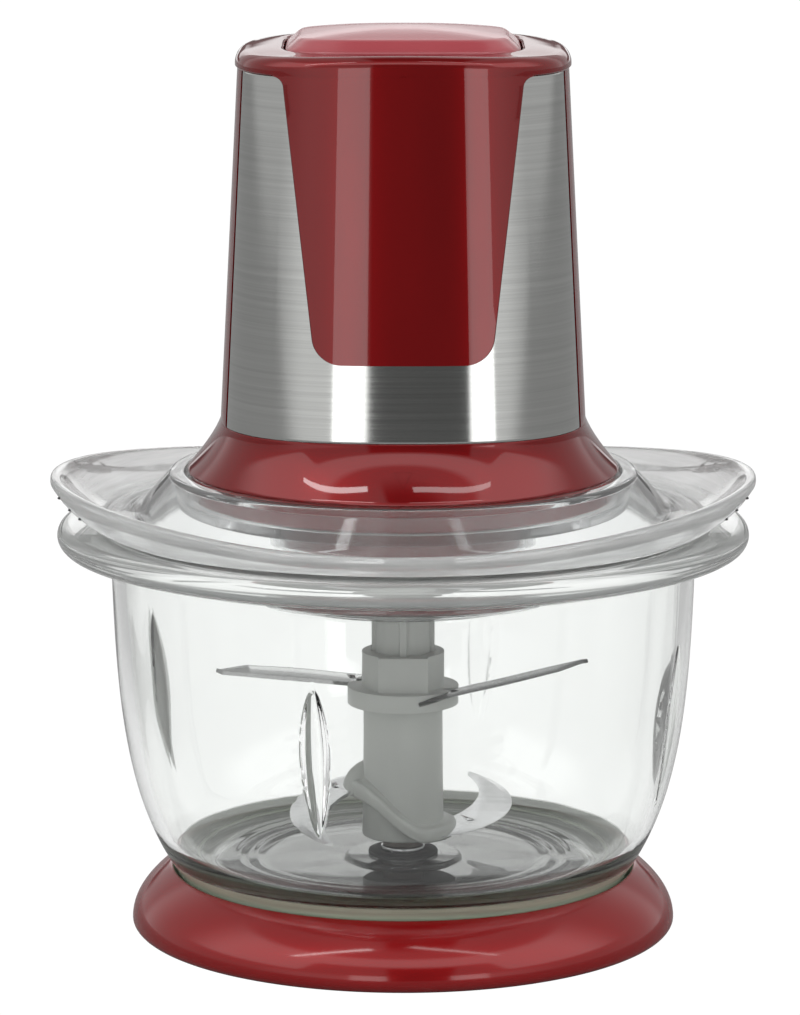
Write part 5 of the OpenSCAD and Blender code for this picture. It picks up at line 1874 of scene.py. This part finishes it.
    def steel(self) -> bpy.types.Object:
        """Shapes the brushed sheet round the front.

        Returns:
            The piece.
        """
        low, high = self.steel_z, self.cap_z - self.fit_gap
        foot, head = self.steel_ends
        low_round, high_round = self.steel_rounds
        rings = []
        for t in spread(FRONT - self.steel_half, FRONT + self.steel_half, 120):
            corners = [(-self.steel_t, low, 0.0), (0.0, low, low_round)]
            corners += [(0.0, z, 0.0) for z in spread(low + foot, high - head, 24)]
            corners += [(0.0, high, high_round), (-self.steel_t, high, 0.0)]
            rings.append([polar(self.radius(z, t) + out, t, z) for out, z in rounded(corners, 3)])
        return Bench.tube("steel_skin", rings, capped=True)

    def cap(self) -> bpy.types.Object:
        """Shapes the cap with the button's opening.

        Returns:
            The piece.
        """
        angles = spread(0.0, 360.0, 240)[:-1]
        lip = self.proud + self.wall + self.seat + self.fit_gap

        def outer(inset: float, z: float) -> list[Point]:
            """Ring of the cap, moved in."""
            return [polar(self.radius(self.cap_z, t) + self.proud - inset, t, z) for t in angles]

        def hole(grow: float, z: float) -> list[Point]:
            """Ring of the opening, made wider."""
            a, b = self.opening[0] + grow, self.opening[1] + grow
            return [polar(oblong_r(a, b, self.opening_square, t), t, z) for t in angles]

        def lip_z(x: float, y: float) -> float:
            """Height of the opening's lip, low at the front."""
            return self.top_z + self.cap_dome * (1.0 - max(0.0, -y / math.hypot(x, y)) ** self.front_power)

        rings = [outer(lip, self.cap_z - self.cap_lip), outer(lip, self.cap_z)]
        rings += [outer(self.cap_bevel, self.cap_z), outer(0.0, self.cap_z + self.cap_bevel)]
        for a in spread(0.0, 90.0, 10):
            c, s = math.cos(math.radians(a)), math.sin(math.radians(a))
            ring = []
            for t in angles:
                front = max(0.0, -math.sin(math.radians(t))) ** self.front_power
                edge = mix(self.cap_round, self.cap_front_round, front)
                r = self.radius(self.cap_z, t) + self.proud - edge * (1 - c)
                ring.append(polar(r, t, self.top_z + self.cap_front_rise * front - edge * (1 - s)))
            rings.append(ring)
        edge, rim = rings[-1], hole(self.opening_round, 0.0)
        for u in spread(0.0, 1.0, 8)[1:]:
            ring = []
            for p, q in zip(edge, rim):
                z = mix(p[2], lip_z(q[0], q[1]), u * (2.0 - u))
                ring.append((mix(p[0], q[0], u), mix(p[1], q[1], u), z))
            rings.append(ring)
        for grow, drop in self.opening_edge:
            rings.append([(x, y, lip_z(x, y) - drop) for x, y, _ in hole(grow, 0.0)])
        under, inside = self.top_z - self.cap_top_t, lip + self.cap_lip_t
        rings += [hole(0.0, under), outer(inside, under), outer(inside, self.cap_z - self.cap_lip)]
        return Bench.tube("cap_skin", rings, looped=True, smooth=self.soft)

    def tongue_half(self, z: float) -> float:
        """Half width of the tongue at a height, with its round and hollow corners.

        Args:
            z: The height.

        Returns:
            The half width.
        """
        foot = self.cap_z - self.tongue_l
        neck_z = self.cap_z - self.fit_gap - self.tongue_neck
        wide = mix(self.tongue_low_w, self.tongue_top_w, (z - foot) / (neck_z - foot))
        if z < foot + self.tongue_round:
            up = self.tongue_round - (z - foot)
            return wide - self.tongue_round + math.sqrt(max(0.0, self.tongue_round**2 - up**2))
        if z > neck_z:
            up = min(self.tongue_neck, z - neck_z)
            return self.tongue_top_w + self.tongue_neck - math.sqrt(max(0.0, self.tongue_neck**2 - up**2))
        return wide

    def tongue(self) -> bpy.types.Object:
        """Shapes the tongue that runs down the front from the cap.

        Returns:
            The piece.
        """
        foot, neck = self.cap_z - self.tongue_l, self.cap_z - self.tongue_neck
        heights = [foot + self.tongue_round * (1 - math.cos(math.radians(a))) for a in spread(0.0, 90.0, 12)]
        heights += spread(foot + self.tongue_round, neck, 30)[1:]
        bends = [math.radians(a) for a in spread(*self.tongue_bend, 8)]
        heights += [neck + self.tongue_neck * math.sin(a) for a in bends]
        heights.append(self.cap_z + self.tongue_over)

        def row(z: float, out: float, shrink: float) -> list[Point]:
            """Row of the tongue's face at a height.

            Args:
                z: The height.
                out: How far it stands out.
                shrink: How far its ends are moved in.

            Returns:
                The row.
            """
            w = max(self.tongue_half(z) - shrink, self.tongue_least)
            level = min(z, self.cap_z)
            a, power = self.half(level), self.square
            points = []
            for x in spread(-w, w, 40):
                y = -((a**power - abs(x) ** power) ** (1 / power))
                angle = math.degrees(math.atan2(y, x))
                points.append(polar(self.radius(level, angle) + out, angle, z))
            return points

        lip_w, lip_h = self.tongue_lip
        rings = []
        for z in heights:
            face = row(z, self.proud, lip_w)
            edge = row(z, self.proud - lip_h, 0.0)
            back = row(z, -self.steel_t, 0.0)
            rings.append(face + [edge[-1]] + list(reversed(back)) + [edge[0]])
        return Bench.tube("tongue_skin", rings, capped=True, smooth=self.soft)

    def mark(self) -> bpy.types.Object:
        """Raised triangle on the front of the flare that shows how the unit sits.

        Returns:
            The piece.
        """
        bpy.ops.object.select_all(action="DESELECT")
        bpy.ops.mesh.primitive_circle_add(vertices=3, radius=self.mark_r * MM, fill_type="NGON")
        obj = bpy.context.active_object
        obj.name = obj.data.name = "flare_mark"
        bpy.ops.object.mode_set(mode="EDIT")
        bpy.ops.mesh.select_all(action="SELECT")
        bpy.ops.mesh.inset(thickness=self.mark_inset * MM)
        bpy.ops.mesh.select_all(action="SELECT")
        bpy.ops.mesh.subdivide(number_cuts=3)
        bpy.ops.object.mode_set(mode="OBJECT")
        for vertex in obj.data.vertices:
            x, z = vertex.co.x / MM, self.mark_z - vertex.co.y / MM
            angle = FRONT + math.degrees(math.asin(x / self.half(z)))
            vertex.co = Vector(polar(self.radius(z, angle) - self.mark_sink, angle, z)) * MM
        Bench.only(obj)
        bpy.ops.object.mode_set(mode="EDIT")
        bpy.ops.mesh.select_all(action="SELECT")
        bpy.ops.mesh.extrude_region_move(TRANSFORM_OT_translate={"value": (0.0, -self.mark_t * MM, 0.0)})
        bpy.ops.mesh.select_all(action="SELECT")
        bpy.ops.mesh.normals_make_consistent(inside=False)
        bpy.ops.object.mode_set(mode="OBJECT")
        Bench.smooth(obj, self.mark_smooth)
        return obj

    def build(self) -> None:
        """Shapes the outer pieces and dresses the inner ones."""
        self.body = "motor_unit"
        self.fit(self.housing(), RED_HOUSING, "motor_housing")
        self.fit(self.steel(), STEEL, "steel_wrap")
        self.fit(Bench.join("cover_skin", [self.cap(), self.tongue()]), RED_GLOSS, "top_cover")
        self.fit(self.mark(), RED_GLOSS)
        self.dress("cord_gland", RUBBER, 0.35)
        self.dress("gear_housing", RED_GLOSS, 0.3)
        self.dress("housing_screws", PIN, 0.15)
        self.paint(IVORY, "ring_gear")
        self.paint(BLACK, "gearbox_plate", "motor_end_cap", "switch_body", "rectifier")
        self.paint(BRONZE, "output_bush", "lower_bush", "upper_bush")
        self.paint(CAN, "motor_can")
        self.paint(MAGNET, "motor_magnets")
        self.paint(CARBON, "carbon_brushes")
        self.paint(WHITE, "switch_bracket", "capacitor")
        self.paint(BOARD, "circuit_board")
        self.paint(PIN, "gearbox_screws", "bracket_screws", "button_springs")


@dataclass
class Button(SubAssembly):
    """Push button in the cap and the switch plunger under it."""

    top_z: float = 222.65
    half_w: float = 28.8
    half_d: float = 24.0
    square: float = 5.0
    lip_h: float = 0.7
    bevel_h: float = 2.7
    bevel_w: float = 3.2
    crown_h: float = 2.0
    flange_z: float = 218.65
    flange_t: float = 1.5
    flange_out: float = 1.2
    wall: float = 2.0
    roof_drop: float = 0.4
    roof_steps: tuple[float, ...] = (0.0, 0.3, 0.6, 0.85, 1.0)
    lip_edge: tuple[Flat, ...] = ((0.0, -0.5), (0.08, -0.15), (0.4, 0.25))
    bevel_span: Flat = (0.25, 0.85)
    crown_edge: Flat = (0.1, 0.02)
    crown_end: float = 0.97
    soft: float = 40.0
    columns: int = 192

    def ring(self, inset: float, z: float) -> list[Point]:
        """Ring of the button's outline, moved in."""
        a, b = self.half_w - inset, self.half_d - inset
        return [polar(oblong_r(a, b, self.square, t), t, z) for t in spread(0.0, 360.0, self.columns)[:-1]]

    def crown(self, u: float, inset: float, drop: float) -> list[Point]:
        """Ring of the crown.

        Args:
            u: Share of the way out from the middle.
            inset: How far its edge is moved in.
            drop: How far it is moved down.

        Returns:
            The ring.
        """
        a, b = self.half_w - inset, self.half_d - inset
        z = self.top_z + self.lip_h + self.bevel_h + self.crown_h * (1.0 - u * u) - drop
        power = mix(2.0, self.square, u)
        return [polar(u * oblong_r(a, b, power, t), t, z) for t in spread(0.0, 360.0, self.columns)[:-1]]

    def build(self) -> None:
        """Shapes the button and finishes the plunger."""
        self.body = "button"
        inner = self.bevel_w + self.wall
        lip = self.top_z + self.lip_h
        step = self.flange_z + self.flange_t
        edge_in, edge_drop = self.crown_edge
        rings = [self.crown(u, inner, self.wall + self.roof_drop) for u in self.roof_steps]
        rings += [self.ring(inner, self.flange_z), self.ring(-self.flange_out, self.flange_z)]
        rings += [self.ring(-self.flange_out, step), self.ring(0.0, step)]
        rings += [self.ring(inset, lip + up) for inset, up in self.lip_edge]
        for u in spread(*self.bevel_span, 4):
            rings.append(self.ring(self.bevel_w * u, lip + self.bevel_h * u))
        rings.append(self.ring(self.bevel_w + edge_in, lip + self.bevel_h - edge_drop))
        rings += [self.crown(u, self.bevel_w, 0.0) for u in spread(self.crown_end, 0.0, 24)]
        self.fit(Bench.tube("button_skin", rings, smooth=self.soft), RED_BUTTON, "push_button")
        self.paint(BLACK, "switch_plunger")


@dataclass
class Works(SubAssembly):
    """Turning pieces of the motor and the gearbox."""

    def build(self) -> None:
        """Finishes the rotor, the carrier and the planets."""
        self.paint(PIN, "motor_shaft", "planet_pins")
        self.paint(CORE, "armature_core")
        self.paint(COPPER, "armature_windings", "commutator")
        self.paint(WHITE, "cooling_fan")
        self.paint(BRONZE, "sun_pinion")
        self.dress("planet_carrier", IVORY, 0.25, body="carrier")
        self.paint(IVORY, "planet_gear_1", "planet_gear_2", "planet_gear_3")


@dataclass(frozen=True)
class Lamp:
    """A soft rectangular light."""

    name: str
    place: Point
    aim: Point
    size: Flat
    glow: float

    def light(self) -> None:
        """Adds the lamp, pointed at its aim and not seen by the camera itself."""
        light = bpy.data.lights.new(self.name, "AREA")
        light.shape = "RECTANGLE"
        light.size, light.size_y = self.size
        light.energy = self.glow * math.pi * self.size[0] * self.size[1]
        obj = bpy.data.objects.new(self.name, light)
        bpy.context.scene.collection.objects.link(obj)
        obj.location = self.place
        obj.rotation_euler = (Vector(self.aim) - Vector(self.place)).to_track_quat("-Z", "Y").to_euler()
        obj.visible_camera = False


LAMPS = (
    Lamp("left_box", (-0.325, -1.3, 0.15), (0.0, 0.0, 0.15), (0.35, 0.3), 1.8),
    Lamp("right_box", (0.66, -1.3, 0.15), (0.0, 0.0, 0.15), (0.4, 0.3), 1.8),
    Lamp("left_bar", (-0.9, -0.9, 1.5), (-1.18, 0.0, 0.1), (1.3, 0.07), 9.0),
    Lamp("right_bar", (0.6, -0.81, 1.5), (0.89, 0.0, 0.1), (1.15, 0.07), 4.5),
)


@dataclass
class Studio:
    """Floor, light, surroundings and camera.

    Sizes are in metres. A span is where an edge in the surroundings starts and ends: across is the share of a
    direction to the right, back its share to the back and up its share upwards, and wide is across squared.
    """

    eye: Point = (-0.00078, -1.230, 0.33787)
    pitch: float = 10.617
    lens: float = 177.47
    sensor: float = 36.0
    reach: float = 50.0
    floor: float = 8.0
    floor_front: float = 1.2
    floor_z: float = -0.0003
    floor_grey: Colour = (0.42, 0.42, 0.42)
    floor_roughness: float = 0.8
    floor_glow: float = 1.03
    floor_fall: float = 0.42
    floor_sides: Flat = (0.12, 0.23)
    floor_spread: float = 0.08
    side_light: float = 0.62
    flag_light: float = 0.5
    near_light: float = 0.95
    back_light: float = 1.15
    strip_light: float = 1.35
    dim_light: float = 0.12
    gap_light: float = 0.12
    high_light: float = 1.05
    top_light: float = 0.7
    gap: Flat = (-0.11, 0.345)
    gap_up: Flat = (0.5, 0.55)
    top_gap: Flat = (-0.09, 0.26)
    gap_edge: float = 0.02
    front_back: Flat = (-0.3, 0.0)
    top_up: Flat = (0.86, 0.95)
    near_wide: Flat = (0.4, 0.95)
    near_up: Flat = (0.12, 0.25)
    band_wide: Flat = (0.25, 0.5)
    band_drop: float = 0.3
    band_low: Flat = (0.54, 0.6)
    band_high: Flat = (0.74, 0.8)
    band_back: Flat = (-0.1, 0.35)
    back_back: Flat = (0.5, 0.97)
    flag_near: Flat = (0.74, 0.82)
    flag_far: Flat = (0.93, 0.97)
    flag_up: Flat = (0.4, 0.5)
    behind_back: Flat = (0.9, 0.95)
    strip_low: Flat = (0.17, 0.2)
    strip_high: Flat = (0.252, 0.268)
    dim_low: Flat = (0.25, 0.27)
    dim_high: Flat = (0.27, 0.3)
    dim_share: float = 0.6
    ground_low: Flat = (0.0, 0.02)
    ground_high: Flat = (0.07, 0.09)

    @staticmethod
    def between(painter: Painter, value: Wire, rising: Flat, falling: Flat) -> Wire:
        """One between a rising and a falling edge and nought outside."""
        return painter.ease(value, *rising) * (1.0 - painter.ease(value, *falling))

    def slot(self, painter: Painter, across: Wire, span: Flat) -> Wire:
        """One between two places across and nought outside."""
        rising, falling = ((place - self.gap_edge, place + self.gap_edge) for place in span)
        return self.between(painter, across, rising, falling)

    def surroundings(self) -> None:
        """Sets the light all round.

        It is bright behind, with a flag at each side, a strip and two dim bands. It has a bright band high
        round the front, and is softer low at the sides and dark in the middle. The camera sees plain white.
        """
        world = bpy.data.worlds.new("studio")
        bpy.context.scene.world = world
        world.use_nodes = True
        painter = Painter(world.node_tree)
        ease = painter.ease
        way = painter.node("TexCoord", output="Generated")
        across, back, up = (painter.node("SeparateXYZ", None, {"Vector": way}, letter) for letter in "XYZ")
        wide = across * across
        front = 1.0 - ease(back, *self.front_back)
        overhead = ease(up, *self.top_up)
        dark = self.slot(painter, across, self.gap) * front * (1.0 - ease(up, *self.gap_up))
        dark = dark + self.slot(painter, across, self.top_gap) * overhead
        near = front * (1.0 - ease(wide, *self.near_wide)) * (1.0 - ease(up, *self.near_up))
        band = ease(up + ease(wide, *self.band_wide) * self.band_drop, *self.band_low)
        band = band * (1.0 - ease(up, *self.band_high))
        light = self.side_light + ease(back, *self.back_back) * (self.back_light - self.side_light)
        light = light + near * (self.near_light - self.side_light)
        light = light + overhead * (self.top_light - self.side_light)
        light = light + band * (1.0 - ease(back, *self.band_back)) * self.high_light
        flag = self.between(painter, back, self.flag_near, self.flag_far) * (1.0 - ease(up, *self.flag_up))
        light = light * (1.0 - flag * (1.0 - self.flag_light))
        behind = ease(back, *self.behind_back)
        strip = self.between(painter, up, self.strip_low, self.strip_high)
        dim = self.between(painter, up, self.dim_low, self.dim_high) * self.dim_share
        dim = dim + self.between(painter, up, self.ground_low, self.ground_high)
        light = light * (1.0 + behind * (strip * (self.strip_light - 1.0) - dim * (1.0 - self.dim_light)))
        light = light * (1.0 - dark) + dark * self.gap_light
        seen = painter.node("LightPath", output="Is Camera Ray")
        background = world.node_tree.nodes["Background"]
        background.inputs["Color"].default_value = (1.0, 1.0, 1.0, 1.0)
        painter.feed(background.inputs["Strength"], light * (1.0 - seen) + seen)

    def ground(self) -> None:
        """Adds the pale floor, plain to the camera and darker at both sides through the glass."""
        bpy.ops.object.select_all(action="DESELECT")
        back = self.floor / 2.0 - self.floor_front
        bpy.ops.mesh.primitive_plane_add(size=self.floor, location=(0.0, back, self.floor_z))
        obj = bpy.context.active_object
        obj.name = "floor"
        material = bpy.data.materials.new("pale_floor")
        material.use_nodes = True
        painter = Painter(material.node_tree)
        shader = material.node_tree.nodes["Principled BSDF"]
        seen = painter.node("LightPath", output="Is Camera Ray")
        through = painter.node("LightPath", output="Is Transmission Ray")
        painter.feed(shader.inputs["Base Color"], painter.tint(self.floor_grey, 1.0 - seen - through))
        painter.feed(shader.inputs["Roughness"], self.floor_roughness)
        painter.feed(shader.inputs["Specular IOR Level"], 0.0)
        side = abs(painter.axis("X")) - (painter.axis("Y") + back) * self.floor_spread
        glow = self.floor_glow - painter.ease(side, *self.floor_sides) * self.floor_fall
        shine = painter.tint((1.0, 1.0, 1.0), seen * self.floor_glow + through * glow)
        painter.feed(shader.inputs["Emission Color"], shine)
        painter.feed(shader.inputs["Emission Strength"], 1.0)
        obj.data.materials.append(material)

    def camera(self) -> None:
        """Sets the camera at the photograph's place."""
        data = bpy.data.cameras.new("camera")
        data.lens = self.lens
        data.sensor_width = self.sensor
        data.sensor_fit = "AUTO"
        data.clip_end = self.reach
        obj = bpy.data.objects.new("camera", data)
        bpy.context.scene.collection.objects.link(obj)
        obj.location = self.eye
        obj.rotation_euler = (math.radians(90.0 - self.pitch), 0.0, 0.0)
        bpy.context.scene.camera = obj

    def build(self) -> None:
        """Sets up everything round the object."""
        self.surroundings()
        self.ground()
        for lamp in LAMPS:
            lamp.light()
        self.camera()
        bpy.context.scene.view_settings.view_transform = "Standard"


def main() -> None:
    """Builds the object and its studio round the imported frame."""
    logging.basicConfig(level=logging.INFO, format="%(name)s: %(message)s")
    for obj in list(bpy.data.objects):
        bpy.data.objects.remove(obj)
    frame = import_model()
    for kind in (Base, Bowl, Blades, Lid, MotorUnit, Button, Works):
        kind(frame["nodes"]).build()
    Studio().build()


if __name__ == "__main__":
    main()
